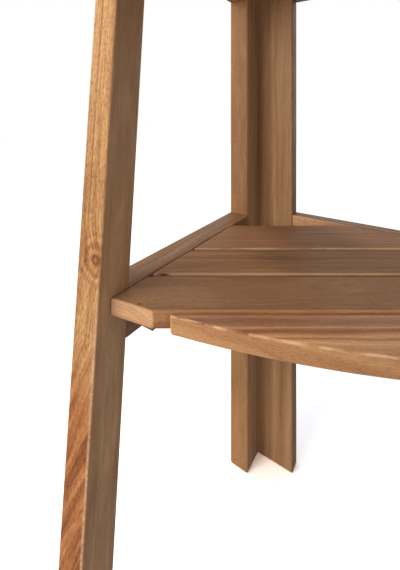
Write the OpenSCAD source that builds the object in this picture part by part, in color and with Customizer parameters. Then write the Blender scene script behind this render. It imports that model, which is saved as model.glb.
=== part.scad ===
/* [Side frames] */
// Distance from the inner rear corner to the front of a leg, along its side, at the floor
side_reach = 427; // [410:1:460]
// Lean of the legs, backwards as they rise, in degrees
leg_lean = 5.5; // [3:0.1:6.5]
// Thickness of the legs, posts and rails
frame_t = 25; // [20:0.5:32]
// Width of each leg, square to its length
leg_w = 43; // [34:1:52]
// Width of the inner face of each rear post
post_w = 48; // [38:1:54]
// Height of the rails
rail_h = 45; // [38:1:60]
// Radius of the rounded arrises of the frame timber
frame_ease = 1.5; // [1:0.25:3]
// Chamfer round the ends of the legs and posts
foot_ease = 3; // [1:0.5:5]
// How far the legs and posts stand above the top shelf
frame_rise = 25; // [10:1:60]

/* [Shelves] */
// Height of the low shelf's top face above the floor
low_shelf_z = 390; // [320:1:420]
// Height from one shelf to the next
shelf_pitch = 370; // [320:1:400]
// Thickness of the slats
slat_t = 15; // [11:0.5:18]
// Width of the straight slats
slat_w = 57; // [50:0.5:60]
// Gap between neighbouring slats
slat_gap = 4.5; // [3:0.5:6]
// Depth of each curved front slat at its middle
front_slat_w = 55; // [50:1:60]
// Depth that is left at the blunt ends of each front slat
front_slat_tip = 2; // [1:0.5:5]
// Gap between the ends of the slats and the side frames
end_gap = 1.5; // [0.5:0.25:3]
// Radius of the rounded long edges of the slats
slat_ease = 1.5; // [1:0.25:4]
// Radius of the rounded edge along the shelf's curved front
arc_ease = 1.25; // [0.5:0.25:2.5]
// How far the shelf's front corners sit behind the fronts of the legs
front_setback = 16; // [10:1:25]
// Distance of the centre of the front curves behind the inner rear corner
arc_centre_back = 141.5; // [100:0.5:200]
// Distance from the inner rear corner forwards to the rear edge of the low shelf
low_rear_gap = 80; // [60:1:90]
// Distance from the inner rear corner forwards to the rear edge of the middle shelf
mid_rear_gap = 44; // [40:1:50]
// Distance from the inner rear corner forwards to the rear edge of the top shelf
top_rear_gap = 41; // [40:1:46]

/* [Shelf supports] */
// Width of the cleats that carry the slats along the rails
cleat_w = 24; // [20:1:30]
// Height of the cleats and battens
cleat_h = 15; // [12:1:20]
// Width of the two battens under each shelf
batten_w = 36; // [28:1:44]
// Distance from the middle of the shelf to the middle of each batten
batten_x = 75; // [60:1:85]
// Clearance between the rear end of a batten and the cleat beside it
batten_gap = 1.5; // [0.5:0.5:4]
// How far the front ends of the battens sit behind the shelf's curved front
batten_setback = 30; // [24:1:36]
// Radius of the rounded arrises of the cleats and battens
cleat_ease = 1; // [0.5:0.25:2]

/* [Dowels and screws] */
// Diameter of the dowels at the ends of the rails
dowel_d = 8; // [6:1:10]
// Length of the dowels
dowel_l = 34; // [24:1:40]
// Distance between the two dowels of a joint
dowel_pitch = 20; // [16:1:24]
// Depth of the dowel holes beyond the ends of the dowels
dowel_end_gap = 1; // [0.5:0.5:2]
// Clearance round the dowels and screws in their holes
hole_gap = 0.1; // [0.05:0.05:0.2]
// Diameter of the screws
screw_d = 4; // [3:0.5:5]
// Diameter of the countersunk screw heads
screw_head_d = 8; // [7:0.5:9]
// Height of the cone of a screw's head
screw_head_h = 2.4; // [2:0.2:3]
// Length of a screw's point
screw_point_l = 4; // [3:0.5:6]
// Diameter of a screw's blunt tip
screw_tip_d = 0.8; // [0.6:0.1:1.2]
// Thickness of wood left above the points of the screws that hold the slats from below
slat_screw_cover = 4; // [2:0.5:6]
// Length of the screws that hold the cleats to the rails
cleat_screw_l = 35; // [30:1:42]
// Length of the screws that join the two rear posts
corner_screw_l = 50; // [40:1:60]
// Height of the two corner screws of a bay above and below the bay's middle
corner_screw_h = 90; // [60:1:110]
// Shortest bearing of a slat on a batten that takes a screw
slat_bearing_l = 10; // [8:1:13]
// Length of the cutters that stands out of the face where a screw enters
entry_l = 1; // [0.5:0.5:2]

/* [Hidden] */
$fn = 48;

LOW = 0;
MID = 1;
TOP = 2;
TIERS = [LOW, MID, TOP];
LEFT = -1;
RIGHT = 1;
SIDES = [LEFT, RIGHT];
REAR = 0;
SECOND = 1;
THIRD = 2;
FRONT = 3;
SLATS = [REAR, SECOND, THIRD, FRONT];

leg_wood = [0.66, 0.42, 0.24];
post_wood = [0.62, 0.41, 0.27];
rail_wood = [0.55, 0.37, 0.25];
slat_wood = [0.53, 0.36, 0.23];
support_wood = [0.45, 0.31, 0.22];
dowel_wood = [0.80, 0.68, 0.48];
screw_zinc = [0.72, 0.70, 0.62];

root2 = sqrt(2);
rear_gap = [low_rear_gap, mid_rear_gap, top_rear_gap];
shelf_z = [for (tier = TIERS) low_shelf_z + tier * shelf_pitch];
frame_h = shelf_z[TOP] + frame_rise;
slat_screw_l = cleat_h + slat_t - slat_screw_cover;
// Length of the cutting bodies that pass right through a piece
through = 2 * side_reach;

// Places along a side, measured from the inner rear corner in the plane of the side's inner face
function leg_front(z) = side_reach - z * tan(leg_lean);
function leg_back(z) = leg_front(z) - leg_w / cos(leg_lean);

// The front curve of a shelf passes through a point on the inner face of each leg
function shelf_corner(tier) = (leg_front(shelf_z[tier]) - front_setback) / root2;
function arc_r(tier) = norm([shelf_corner(tier), shelf_corner(tier) + arc_centre_back]);
function arc_at(tier, x) = sqrt(pow(arc_r(tier), 2) - x * x) - arc_centre_back;
function arc_x(tier, u) = sqrt(pow(arc_r(tier), 2) - pow(u + arc_centre_back, 2));
function apex(tier) = arc_at(tier, 0);

// Front and rear edges of the slats, measured forwards from the inner rear corner
function slat_front(tier, slat) =
    slat == FRONT ? apex(tier) : apex(tier) - front_slat_w - slat_gap - (THIRD - slat) * (slat_w + slat_gap);
function slat_rear(tier, slat) =
    slat == FRONT ? apex(tier) - front_slat_w :
    slat == REAR ? rear_gap[tier] : slat_front(tier, slat) - slat_w;
function tip_x(tier) = arc_x(tier, slat_rear(tier, FRONT) + front_slat_tip);

// Front end of a cleat's middle line and the two ends of a batten, measured forwards in the same way
function cleat_end(tier) = (leg_back(shelf_z[tier]) + cleat_w / 2) / root2;
batten_rear = batten_x + batten_w / 2 + (cleat_w + batten_gap) * root2;
function batten_front(tier) = arc_at(tier, batten_x + batten_w / 2) - batten_setback;

// A slat's screw goes through the middle of its bearing
function cleat_bearing(tier, slat) =
    (slat_rear(tier, slat) + min(slat_front(tier, slat), cleat_end(tier))) / 2;
function batten_overlap(tier, slat) =
    min(slat_front(tier, slat), batten_front(tier)) - max(slat_rear(tier, slat), batten_rear);
function batten_bearing(tier, slat) =
    (min(slat_front(tier, slat), batten_front(tier)) + max(slat_rear(tier, slat), batten_rear)) / 2;
// Distance along a side of the point that lies on the cleat's middle line at a forward distance u
function along_cleat(u) = u * root2 - cleat_w / 2;
// A cleat's own screws go between the slats, and behind the rear slat's screw
function cleat_screw_s(tier) = [
    (post_w + along_cleat(cleat_bearing(tier, REAR))) / 2,
    along_cleat(slat_front(tier, REAR) + slat_gap / 2),
    along_cleat(slat_front(tier, SECOND) + slat_gap / 2)
];

// The origin lies at floor level in the middle of the stand's overall width and depth
post_nose = frame_t * root2 - frame_ease;
corner_y = (apex(LOW) - post_nose) / 2;

// A side's own axes: X runs along the side from the inner rear corner, Y points into the stand
module on_side(side) {
    if (side == LEFT) {
        translate([0, corner_y, 0]) rotate([0, 0, 225]) children();
    } else {
        mirror([1, 0, 0]) on_side(LEFT) children();
    }
}

// A rectangle with rounded corners
module rounded_section(w, h, r) {
    translate([r, 0]) square([w - 2 * r, h]);
    translate([0, r]) square([w, h - 2 * r]);
    for (x = [r, w - r], y = [r, h - r]) {
        translate([x, y]) circle(r);
    }
}

// A strip with chamfered corners that leans back as it rises
module leaning_strip(w, h, lean, c) {
    shift = h * tan(lean);
    polygon([
        [c, 0], [w - c, 0], [w - c * tan(lean), c],
        [w - shift + c * tan(lean), h - c], [w - shift - c, h],
        [c - shift, h], [-shift + c * tan(lean), h - c], [-c * tan(lean), c]
    ]);
}

// Limits a piece of the side frames to its height and takes the arrises off its two ends
module end_chamfers(x0, w, lean) {
    intersection() {
        children();
        translate([x0, through / 2, 0]) rotate([90, 0, 0]) linear_extrude(through)
            leaning_strip(w, frame_h, lean, foot_ease);
        rotate([90, 0, 90]) translate([-frame_t, 0, -through]) linear_extrude(2 * through)
            leaning_strip(frame_t, frame_h, 0, foot_ease);
    }
}

// A countersunk wood screw that enters along +Z, with its head's face at the origin
module screw(l) {
    rotate_extrude() polygon([
        [0, 0], [screw_head_d / 2, 0], [screw_d / 2, screw_head_h],
        [screw_d / 2, l - screw_point_l], [screw_tip_d / 2, l], [0, l]
    ]);
}

// Cutter for a screw's countersunk hole, which starts outside the face where the screw enters
module screw_hole(l) {
    head_r = screw_head_d / 2 + hole_gap;
    shank_r = screw_d / 2 + hole_gap;
    rotate_extrude() polygon([
        [0, -entry_l], [head_r, -entry_l], [head_r, 0], [shank_r, screw_head_h],
        [shank_r, l + hole_gap], [0, l + hole_gap]
    ]);
}

// The two dowels at one end of a rail, on the joint's face, from a side's own axes
module dowel_pair(tier, d, l) {
    for (dz = [-dowel_pitch / 2, dowel_pitch / 2]) {
        z = shelf_z[tier] - rail_h / 2 + dz;
        translate([post_w - l / 2, -frame_t / 2, z]) rotate([0, 90, 0]) cylinder(h = l, d = d);
        translate([leg_back(z) - l / 2, -frame_t / 2, z]) rotate([0, 90, 0]) cylinder(h = l, d = d);
    }
}

module dowel_holes(tier) {
    dowel_pair(tier, dowel_d + 2 * hole_gap, dowel_l + 2 * dowel_end_gap);
}

// Places of the screws that pass through a cleat into its rail, from a side's own axes
module at_cleat_screws(tier) {
    for (s = cleat_screw_s(tier)) {
        translate([s, cleat_w, shelf_z[tier] - slat_t - cleat_h / 2]) rotate([90, 0, 0]) children();
    }
}

// Places of the screws that pass up through a cleat or a batten into one slat
module at_cleat_slat_screws(tier, slat) {
    u = cleat_bearing(tier, slat);
    for (side = SIDES) {
        translate([side * (u - cleat_w / root2), corner_y - u, shelf_z[tier] - slat_t - cleat_h]) children();
    }
}

module at_batten_slat_screws(tier, slat) {
    if (batten_overlap(tier, slat) > slat_bearing_l) {
        u = batten_bearing(tier, slat);
        for (side = SIDES) {
            translate([side * batten_x, corner_y - u, shelf_z[tier] - slat_t - cleat_h]) children();
        }
    }
}

module at_slat_screws(tier, slat) {
    if (slat != FRONT) {
        at_cleat_slat_screws(tier, slat) children();
    }
    at_batten_slat_screws(tier, slat) children();
}

// Places of the screws that enter the left post's outer face and run into the right post
module at_corner_screws() {
    for (tier = TIERS, dz = [-corner_screw_h, corner_screw_h]) {
        on_side(LEFT)
            translate([-frame_t / 2, -frame_t, shelf_z[tier] - shelf_pitch / 2 + dz])
            rotate([-90, 0, 0]) children();
    }
}

// A straight leg that leans back, rounded along its arrises
module leg(side) {
    cut_w = leg_w / cos(leg_lean);
    on_side(side) difference() {
        end_chamfers(side_reach - cut_w, cut_w, leg_lean)
            translate([side_reach, 0, 0]) rotate([0, -leg_lean, 0])
            translate([-leg_w, -frame_t, -frame_h / 2]) linear_extrude(2 * frame_h)
            rounded_section(leg_w, frame_t, frame_ease);
        for (tier = TIERS) {
            dowel_holes(tier);
        }
    }
}

// Section of a post. Its rear edge is mitred at 45 degrees against the other post, with a blunted nose.
module post_section() {
    nose = frame_ease / root2;
    intersection() {
        translate([-frame_t, -frame_t]) rounded_section(frame_t + post_w, frame_t, frame_ease);
        polygon([
            [0, 0], [post_w, 0], [post_w, -frame_t],
            [-frame_t + 2 * nose, -frame_t], [-frame_t + nose, -frame_t + nose]
        ]);
    }
}

module post(side) {
    difference() {
        on_side(side) difference() {
            end_chamfers(-frame_t - foot_ease, post_w + frame_t + foot_ease, 0)
                linear_extrude(frame_h) post_section();
            for (tier = TIERS) {
                dowel_holes(tier);
            }
        }
        at_corner_screws() screw_hole(corner_screw_l);
    }
}

// A rail between a post and a leg, with its front end cut to the leg's lean
module rail(tier, side) {
    z0 = shelf_z[tier] - rail_h;
    on_side(side) difference() {
        intersection() {
            translate([0, -frame_t, z0]) rotate([90, 0, 90]) linear_extrude(side_reach)
                rounded_section(frame_t, rail_h, frame_ease);
            translate([0, through / 2, 0]) rotate([90, 0, 0]) linear_extrude(through)
                polygon([
                    [post_w, z0], [leg_back(z0), z0],
                    [leg_back(shelf_z[tier]), shelf_z[tier]], [post_w, shelf_z[tier]]
                ]);
        }
        dowel_holes(tier);
        at_cleat_screws(tier) screw_hole(cleat_screw_l);
    }
}

// A cleat along the inner face of a rail, under the ends of the slats
module cleat(tier, side) {
    difference() {
        on_side(side) difference() {
            translate([post_w, 0, shelf_z[tier] - slat_t - cleat_h]) rotate([90, 0, 90])
                linear_extrude(leg_back(shelf_z[tier]) - post_w)
                rounded_section(cleat_w, cleat_h, cleat_ease);
            at_cleat_screws(tier) screw_hole(cleat_screw_l);
        }
        for (slat = SLATS) {
            at_slat_screws(tier, slat) screw_hole(slat_screw_l);
        }
    }
}

// A batten that ties the slats together from below and carries the front slat
module batten(tier, side) {
    difference() {
        translate([side * batten_x - batten_w / 2, corner_y - batten_rear, shelf_z[tier] - slat_t - cleat_h])
            rotate([90, 0, 0]) linear_extrude(batten_front(tier) - batten_rear)
            rounded_section(batten_w, cleat_h, cleat_ease);
        for (slat = SLATS) {
            at_slat_screws(tier, slat) screw_hole(slat_screw_l);
        }
    }
}

// Plan of a straight slat. Its ends stay short of the two sides, and a front corner that would
// stand out past the shelf's curve is sawn off straight, from the leg to the curve.
module slat_plan(tier, slat) {
    rear = slat_rear(tier, slat);
    front = slat_front(tier, slat);
    trim = end_gap * root2;
    corner = shelf_corner(tier);
    curve_x = arc_x(tier, front);
    sawn = curve_x < front - trim;
    slope = (corner - curve_x) / (front - corner);
    cut_u = corner + trim / (1 + slope);
    half = concat(
        [[rear - trim, rear]],
        sawn ? [[cut_u - trim, cut_u], [curve_x, front]] : [[front - trim, front]]
    );
    polygon([
        for (i = [0:len(half) - 1]) [half[i][0], corner_y - half[i][1]],
        for (i = [len(half) - 1:-1:0]) [-half[i][0], corner_y - half[i][1]]
    ]);
}

// A disc as thick as a slat with a rounded rim, which gives the shelf its curved front
module shelf_disc(tier) {
    r = arc_r(tier);
    translate([0, corner_y + arc_centre_back, shelf_z[tier] - slat_t]) rotate_extrude($fn = 180) {
        square([r - arc_ease, slat_t]);
        translate([0, arc_ease]) square([r, slat_t - 2 * arc_ease]);
        for (z = [arc_ease, slat_t - arc_ease]) {
            translate([r - arc_ease, z]) circle(arc_ease);
        }
    }
}

// A board across the shelf with rounded long edges, before its ends are cut
module slat_board(tier, slat, half_length) {
    rear = slat_rear(tier, slat);
    // the front slat's front edge comes from the disc alone
    depth = slat_front(tier, slat) - rear + (slat == FRONT ? 2 * slat_ease : 0);
    translate([-half_length, corner_y - rear - depth, shelf_z[tier] - slat_t])
        rotate([90, 0, 90]) linear_extrude(2 * half_length)
        rounded_section(depth, slat_t, slat_ease);
}

module straight_slat(tier, slat) {
    difference() {
        intersection() {
            slat_board(tier, slat, slat_front(tier, slat));
            translate([0, 0, shelf_z[tier] - slat_t]) linear_extrude(slat_t) slat_plan(tier, slat);
        }
        at_slat_screws(tier, slat) screw_hole(slat_screw_l);
    }
}

module front_slat(tier) {
    difference() {
        intersection() {
            slat_board(tier, FRONT, tip_x(tier));
            shelf_disc(tier);
        }
        at_slat_screws(tier, FRONT) screw_hole(slat_screw_l);
    }
}

module slat_screws(tier) {
    for (slat = SLATS) {
        at_slat_screws(tier, slat) screw(slat_screw_l);
    }
}

module left_leg() { color(leg_wood) leg(LEFT); }
module right_leg() { color(leg_wood) leg(RIGHT); }
module left_post() { color(post_wood) post(LEFT); }
module right_post() { color(post_wood) post(RIGHT); }

module low_left_rail() { color(rail_wood) rail(LOW, LEFT); }
module low_right_rail() { color(rail_wood) rail(LOW, RIGHT); }
module mid_left_rail() { color(rail_wood) rail(MID, LEFT); }
module mid_right_rail() { color(rail_wood) rail(MID, RIGHT); }
module top_left_rail() { color(rail_wood) rail(TOP, LEFT); }
module top_right_rail() { color(rail_wood) rail(TOP, RIGHT); }

module low_left_cleat() { color(support_wood) cleat(LOW, LEFT); }
module low_right_cleat() { color(support_wood) cleat(LOW, RIGHT); }
module mid_left_cleat() { color(support_wood) cleat(MID, LEFT); }
module mid_right_cleat() { color(support_wood) cleat(MID, RIGHT); }
module top_left_cleat() { color(support_wood) cleat(TOP, LEFT); }
module top_right_cleat() { color(support_wood) cleat(TOP, RIGHT); }

module low_left_batten() { color(support_wood) batten(LOW, LEFT); }
module low_right_batten() { color(support_wood) batten(LOW, RIGHT); }
module mid_left_batten() { color(support_wood) batten(MID, LEFT); }
module mid_right_batten() { color(support_wood) batten(MID, RIGHT); }
module top_left_batten() { color(support_wood) batten(TOP, LEFT); }
module top_right_batten() { color(support_wood) batten(TOP, RIGHT); }

module low_rear_slat() { color(slat_wood) straight_slat(LOW, REAR); }
module low_second_slat() { color(slat_wood) straight_slat(LOW, SECOND); }
module low_third_slat() { color(slat_wood) straight_slat(LOW, THIRD); }
module low_front_slat() { color(slat_wood) front_slat(LOW); }
module mid_rear_slat() { color(slat_wood) straight_slat(MID, REAR); }
module mid_second_slat() { color(slat_wood) straight_slat(MID, SECOND); }
module mid_third_slat() { color(slat_wood) straight_slat(MID, THIRD); }
module mid_front_slat() { color(slat_wood) front_slat(MID); }
module top_rear_slat() { color(slat_wood) straight_slat(TOP, REAR); }
module top_second_slat() { color(slat_wood) straight_slat(TOP, SECOND); }
module top_third_slat() { color(slat_wood) straight_slat(TOP, THIRD); }
module top_front_slat() { color(slat_wood) front_slat(TOP); }

module rail_dowels() {
    color(dowel_wood) for (side = SIDES, tier = TIERS) {
        on_side(side) dowel_pair(tier, dowel_d, dowel_l);
    }
}
module cleat_screws() {
    color(screw_zinc) for (side = SIDES, tier = TIERS) {
        on_side(side) at_cleat_screws(tier) screw(cleat_screw_l);
    }
}
module low_slat_screws() { color(screw_zinc) slat_screws(LOW); }
module mid_slat_screws() { color(screw_zinc) slat_screws(MID); }
module top_slat_screws() { color(screw_zinc) slat_screws(TOP); }
module corner_screws() { color(screw_zinc) at_corner_screws() screw(corner_screw_l); }

left_leg();
right_leg();
left_post();
right_post();
low_left_rail();
low_right_rail();
mid_left_rail();
mid_right_rail();
top_left_rail();
top_right_rail();
low_left_cleat();
low_right_cleat();
mid_left_cleat();
mid_right_cleat();
top_left_cleat();
top_right_cleat();
low_left_batten();
low_right_batten();
mid_left_batten();
mid_right_batten();
top_left_batten();
top_right_batten();
low_rear_slat();
low_second_slat();
low_third_slat();
low_front_slat();
mid_rear_slat();
mid_second_slat();
mid_third_slat();
mid_front_slat();
top_rear_slat();
top_second_slat();
top_third_slat();
top_front_slat();
rail_dowels();
cleat_screws();
low_slat_screws();
mid_slat_screws();
top_slat_screws();
corner_screws();
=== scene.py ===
# %% [markdown]
# # A corner plant stand in oiled hardwood
# The stand has two leaning front legs, two rear posts that are mitred together, and three slatted
# shelves with curved fronts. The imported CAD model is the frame: every visible piece of timber here is
# a finer surface at the same place, with eased edges and with the grain that such a board would have.

# %% The frame
import math
from types import SimpleNamespace

import bpy
import numpy as np
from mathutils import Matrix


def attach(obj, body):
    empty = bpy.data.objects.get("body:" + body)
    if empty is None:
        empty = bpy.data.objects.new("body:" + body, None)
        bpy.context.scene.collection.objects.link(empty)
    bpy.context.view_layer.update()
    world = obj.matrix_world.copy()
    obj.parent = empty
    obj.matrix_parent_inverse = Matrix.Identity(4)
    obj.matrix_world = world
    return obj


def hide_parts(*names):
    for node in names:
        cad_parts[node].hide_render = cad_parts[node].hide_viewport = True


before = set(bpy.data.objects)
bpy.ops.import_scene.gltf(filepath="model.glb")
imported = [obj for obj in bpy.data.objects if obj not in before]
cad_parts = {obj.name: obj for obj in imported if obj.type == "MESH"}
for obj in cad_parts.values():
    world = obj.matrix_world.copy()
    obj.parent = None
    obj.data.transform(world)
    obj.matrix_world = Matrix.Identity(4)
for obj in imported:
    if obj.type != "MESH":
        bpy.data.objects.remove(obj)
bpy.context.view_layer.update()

# %% [markdown]
# ## Sizes
# Each size stands here once, in metres, as the CAD model has it, and the shapes below are worked out
# from these. Only the easing of the legs', posts' and slats' arrises is set beside those pieces, because
# in the photograph they are a little rounder. Places are measured from the inner rear corner, where the
# inner faces of the two posts meet. A side of the stand runs forwards from there at 45 degrees, so a
# point of it is given by its distance along the side, its distance off the inner face and its height.

# %% Sizes
ROOT_2 = math.sqrt(2)
SIDE_REACH, LEG_LEAN = 0.427, math.radians(5.5)
FRAME_T, LEG_W, POST_W, RAIL_H = 0.025, 0.043, 0.048, 0.045
FRAME_EASE, FOOT_EASE, CLEAT_EASE, FRAME_RISE = 0.0015, 0.003, 0.001, 0.025
SHELF_Z = {"low": 0.390, "mid": 0.760, "top": 1.130}
SLAT_T, SLAT_W, SLAT_GAP, FRONT_SLAT_W, FRONT_SLAT_TIP = 0.015, 0.057, 0.0045, 0.055, 0.002
FRONT_SETBACK, ARC_BACK = 0.016, 0.1415
REAR_GAP = {"low": 0.080, "mid": 0.044, "top": 0.041}
CLEAT_W, CLEAT_H = 0.024, 0.015
BATTEN_W, BATTEN_X, BATTEN_GAP, BATTEN_SETBACK = 0.036, 0.075, 0.0015, 0.030
BATTEN_REAR = BATTEN_X + BATTEN_W / 2 + (CLEAT_W + BATTEN_GAP) * ROOT_2
FRAME_H = SHELF_Z["top"] + FRAME_RISE
SIDES = {"left": -1, "right": 1}


def leg_front(z):
    """Distance along the side of a leg's front face at height z: the reach less z times tan(lean)."""
    return SIDE_REACH - z * math.tan(LEG_LEAN)


def leg_back(z):
    """Distance along the side of a leg's back face, one slanted leg's width behind its front."""
    return leg_front(z) - LEG_W / math.cos(LEG_LEAN)


def shelf_curve(tier):
    """(corner, radius) of a shelf's curved front: the circle about a point behind the rear corner
    that passes through the shelf's front corner on each side."""
    corner = (leg_front(SHELF_Z[tier]) - FRONT_SETBACK) / ROOT_2
    return corner, math.hypot(corner, corner + ARC_BACK)


def curve_u(tier, x):
    """How far in front of the rear corner the shelf's curve lies at x: root(r^2 - x^2) less the
    distance of the circle's centre behind the corner."""
    return np.sqrt(shelf_curve(tier)[1] ** 2 - np.square(x)) - ARC_BACK


def curve_x(tier, u):
    """Half the width of the shelf's curve at distance u in front of the rear corner."""
    return math.sqrt(shelf_curve(tier)[1] ** 2 - (u + ARC_BACK) ** 2)


CORNER_Y = (float(curve_u("low", 0)) - (FRAME_T * ROOT_2 - FRAME_EASE)) / 2
REAR_CORNER = np.array([0, CORNER_Y, 0])
print("rear corner at y =", round(CORNER_Y, 5))

# %% [markdown]
# ## Camera
# The photograph was taken from just in front of the low shelf, a little left of the middle and level,
# and then cropped. A camera that is turned down towards the shelf would make the uprights lean
# together. A level camera with a shifted frame gives such a crop instead: uprights stay upright, and
# the vanishing point lies towards the upper left of the picture.

# %% Camera
PICTURE_W, PICTURE_H, SENSOR_W = 400, 570, 36
FOCAL_PIXELS, VANISHING_POINT = 344.4, (74.9, 112)


def put_in_scene(name, data):
    """A new object with that mesh, lamp or camera data, at the origin."""
    thing = bpy.data.objects.new(name, data)
    bpy.context.scene.collection.objects.link(thing)
    return thing


camera = put_in_scene("camera", bpy.data.cameras.new("camera"))
bpy.context.scene.camera = camera
camera.location = (-0.2935, CORNER_Y - 0.5521, SHELF_Z["low"] + 0.1553)
camera.rotation_euler = (math.radians(90), 0, 0)
camera.data.sensor_fit = "HORIZONTAL"
camera.data.sensor_width = SENSOR_W
camera.data.lens = FOCAL_PIXELS / PICTURE_W * SENSOR_W
camera.data.shift_x = (PICTURE_W / 2 - VANISHING_POINT[0]) / PICTURE_W
camera.data.shift_y = -(PICTURE_H / 2 - VANISHING_POINT[1]) / PICTURE_W
camera.data.clip_start, camera.data.clip_end = 0.01, 50
bpy.context.scene.view_settings.view_transform = "Standard"
print("camera at", tuple(round(v, 4) for v in camera.location))

# %% [markdown]
# ## Sums of nodes
# A procedural finish is arithmetic at each point. In the shader editor every plus and times is a Math
# node with its wires, and a call for each of them makes a long script. Value gives a node's output
# Python's own signs instead, so a * b + c adds both nodes and their links.


# %% Sums of nodes
def add_node(tree, kind, sockets=None, **settings):
    """A node of that kind. An input is another node's output or a Value to link, or a plain constant."""
    made = tree.nodes.new(kind)
    for name, value in settings.items():
        setattr(made, name, value)
    for name, value in (sockets or {}).items():
        value = value.socket if isinstance(value, Value) else value
        if isinstance(value, bpy.types.NodeSocket):
            tree.links.new(value, made.inputs[name])
        else:
            made.inputs[name].default_value = value
    return made


class Value:
    """A number in a node tree. The signs + - * / between values, or with plain numbers after them, add
    Math nodes."""

    def __init__(self, socket):
        self.socket = socket

    def math(self, operation, *others):
        """The result of a Math node whose first input is this value."""
        tree, sockets = self.socket.id_data, dict(enumerate((self, *others)))
        return Value(add_node(tree, "ShaderNodeMath", sockets, operation=operation).outputs[0])

    def __add__(self, other):
        return self.math("ADD", other)

    def __sub__(self, other):
        return self.math("SUBTRACT", other)

    def __mul__(self, other):
        return self.math("MULTIPLY", other)

    def __truediv__(self, other):
        return self.math("DIVIDE", other)


def blank_material(name):
    """A new material and its emptied node tree."""
    material = bpy.data.materials.new(name)
    material.use_nodes = True
    material.node_tree.nodes.clear()
    return material, material.node_tree


print("helpers made: add_node, Value, blank_material")

# %% [markdown]
# ## Light
# The photograph's light comes from the left and a little in front: it catches the faces that look that
# way, and leaves the inner faces of the left side in an even shade. A sun would draw hard shadows, and a
# second lamp for the shade would throw a second one. So one softbox lights the stand, and the white
# surroundings fill its shade. The camera sees those surroundings as plain white.

# %% Light
FILL_COLOUR, FILL_STRENGTH = (0.89, 0.94, 1.0, 1), 0.45


def softbox(name, place, target, size, watts, colour):
    """A square area lamp at a place, turned so that it looks at the target."""
    lamp = put_in_scene(name, bpy.data.lights.new(name, "AREA"))
    lamp.data.size, lamp.data.energy, lamp.data.color = size, watts, colour
    lamp.location = place
    towards = np.subtract(target, place)
    tilt = math.atan2(math.hypot(towards[0], towards[1]), -towards[2])
    lamp.rotation_euler = (tilt, 0, math.atan2(towards[1], towards[0]) - math.pi / 2)
    return lamp


key = softbox("key_softbox", (-1.24, -0.62, 0.92), (-0.2, -0.1, 0.42), 0.7, 11.5, (1.0, 0.97, 0.84))

world = bpy.data.worlds.new("white_surroundings")
bpy.context.scene.world = world
world.use_nodes = True
sky = world.node_tree
sky.nodes.clear()
rays = add_node(sky, "ShaderNodeLightPath").outputs
seen = Value(rays["Is Camera Ray"]).math("MAXIMUM", rays["Is Transmission Ray"])
seen = seen.math("MAXIMUM", rays["Is Glossy Ray"])
fill = add_node(sky, "ShaderNodeBackground", {"Color": FILL_COLOUR, "Strength": FILL_STRENGTH})
white = add_node(sky, "ShaderNodeBackground", {"Color": (1, 1, 1, 1), "Strength": 1.0})
both = add_node(sky, "ShaderNodeMixShader", {0: seen, 1: fill.outputs[0], 2: white.outputs[0]})
add_node(sky, "ShaderNodeOutputWorld", {"Surface": both.outputs[0]})
print(key.name, key.data.energy, "W, fill", FILL_STRENGTH)

# %% [markdown]
# ## Floor
# The stand is shown on plain white, with its own shadow. A paint that is white enough for that would
# throw light up at the wood, and a shadow catcher would need compositing afterwards. So the floor is a
# common pale paint to the light, and only the camera sees it brighter.

# %% Floor
FLOOR_RADIUS, FLOOR_POINTS, FLOOR_DROP = 6, 96, 0.0002


def pale_floor():
    """A round white floor. Its colour is 0.8 to the light, and higher to the camera alone."""
    around = np.linspace(0, 2 * math.pi, FLOOR_POINTS, endpoint=False)
    drop = np.full(FLOOR_POINTS, -FLOOR_DROP)
    rim = np.stack([FLOOR_RADIUS * np.cos(around), FLOOR_RADIUS * np.sin(around), drop], axis=1)
    mesh = bpy.data.meshes.new("floor")
    mesh.from_pydata(rim.tolist(), [], [list(range(FLOOR_POINTS))])
    floor = put_in_scene("floor", mesh)
    paint, tree = blank_material("white_floor")
    path = add_node(tree, "ShaderNodeLightPath").outputs["Is Camera Ray"]
    dull = add_node(tree, "ShaderNodeBsdfDiffuse", {"Color": (0.8, 0.8, 0.8, 1)})
    bright = add_node(tree, "ShaderNodeBsdfDiffuse", {"Color": (2.7, 2.7, 2.7, 1)})
    mixed = add_node(tree, "ShaderNodeMixShader", {0: path, 1: dull.outputs[0], 2: bright.outputs[0]})
    add_node(tree, "ShaderNodeOutputMaterial", {"Surface": mixed.outputs[0]})
    mesh.materials.append(paint)
    return floor


floor = pale_floor()
print(floor.name, "of", FLOOR_RADIUS, "m around the stand")

# %% [markdown]
# ## Patterns
# Grain is made from noise: drawn out along one axis it gives fibres, and one range of it, spread over 0
# to 1, gives separate dashes. A photographed texture would be quicker, but it holds one board at one
# scale and repeats from board to board. Noise gives every board its own grain, near and far.


# %% Patterns
def vector_math(operation, first, second):
    """The output of a Vector Math node: the first input is a socket, the second one or an (x, y, z)."""
    sockets = {0: first, 1: second}
    return add_node(first.id_data, "ShaderNodeVectorMath", sockets, operation=operation).outputs[0]


def parts_of(point):
    """The three coordinates of a point, as values."""
    return [Value(part) for part in add_node(point.id_data, "ShaderNodeSeparateXYZ", {0: point}).outputs]


def attribute(tree, name):
    """A number that each vertex of a piece carries."""
    return Value(add_node(tree, "ShaderNodeAttribute", attribute_name=name).outputs["Fac"])


def stretched_noise(point, scale, detail, roughness=0.5, output="Fac"):
    """Noise at a point whose three coordinates are first stretched by their own scales."""
    point = vector_math("MULTIPLY", point, scale)
    sockets = {"Vector": point, "Scale": 1.0, "Detail": detail, "Roughness": roughness}
    made = add_node(point.id_data, "ShaderNodeTexNoise", sockets).outputs[output]
    return made if output == "Color" else Value(made)


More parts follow.
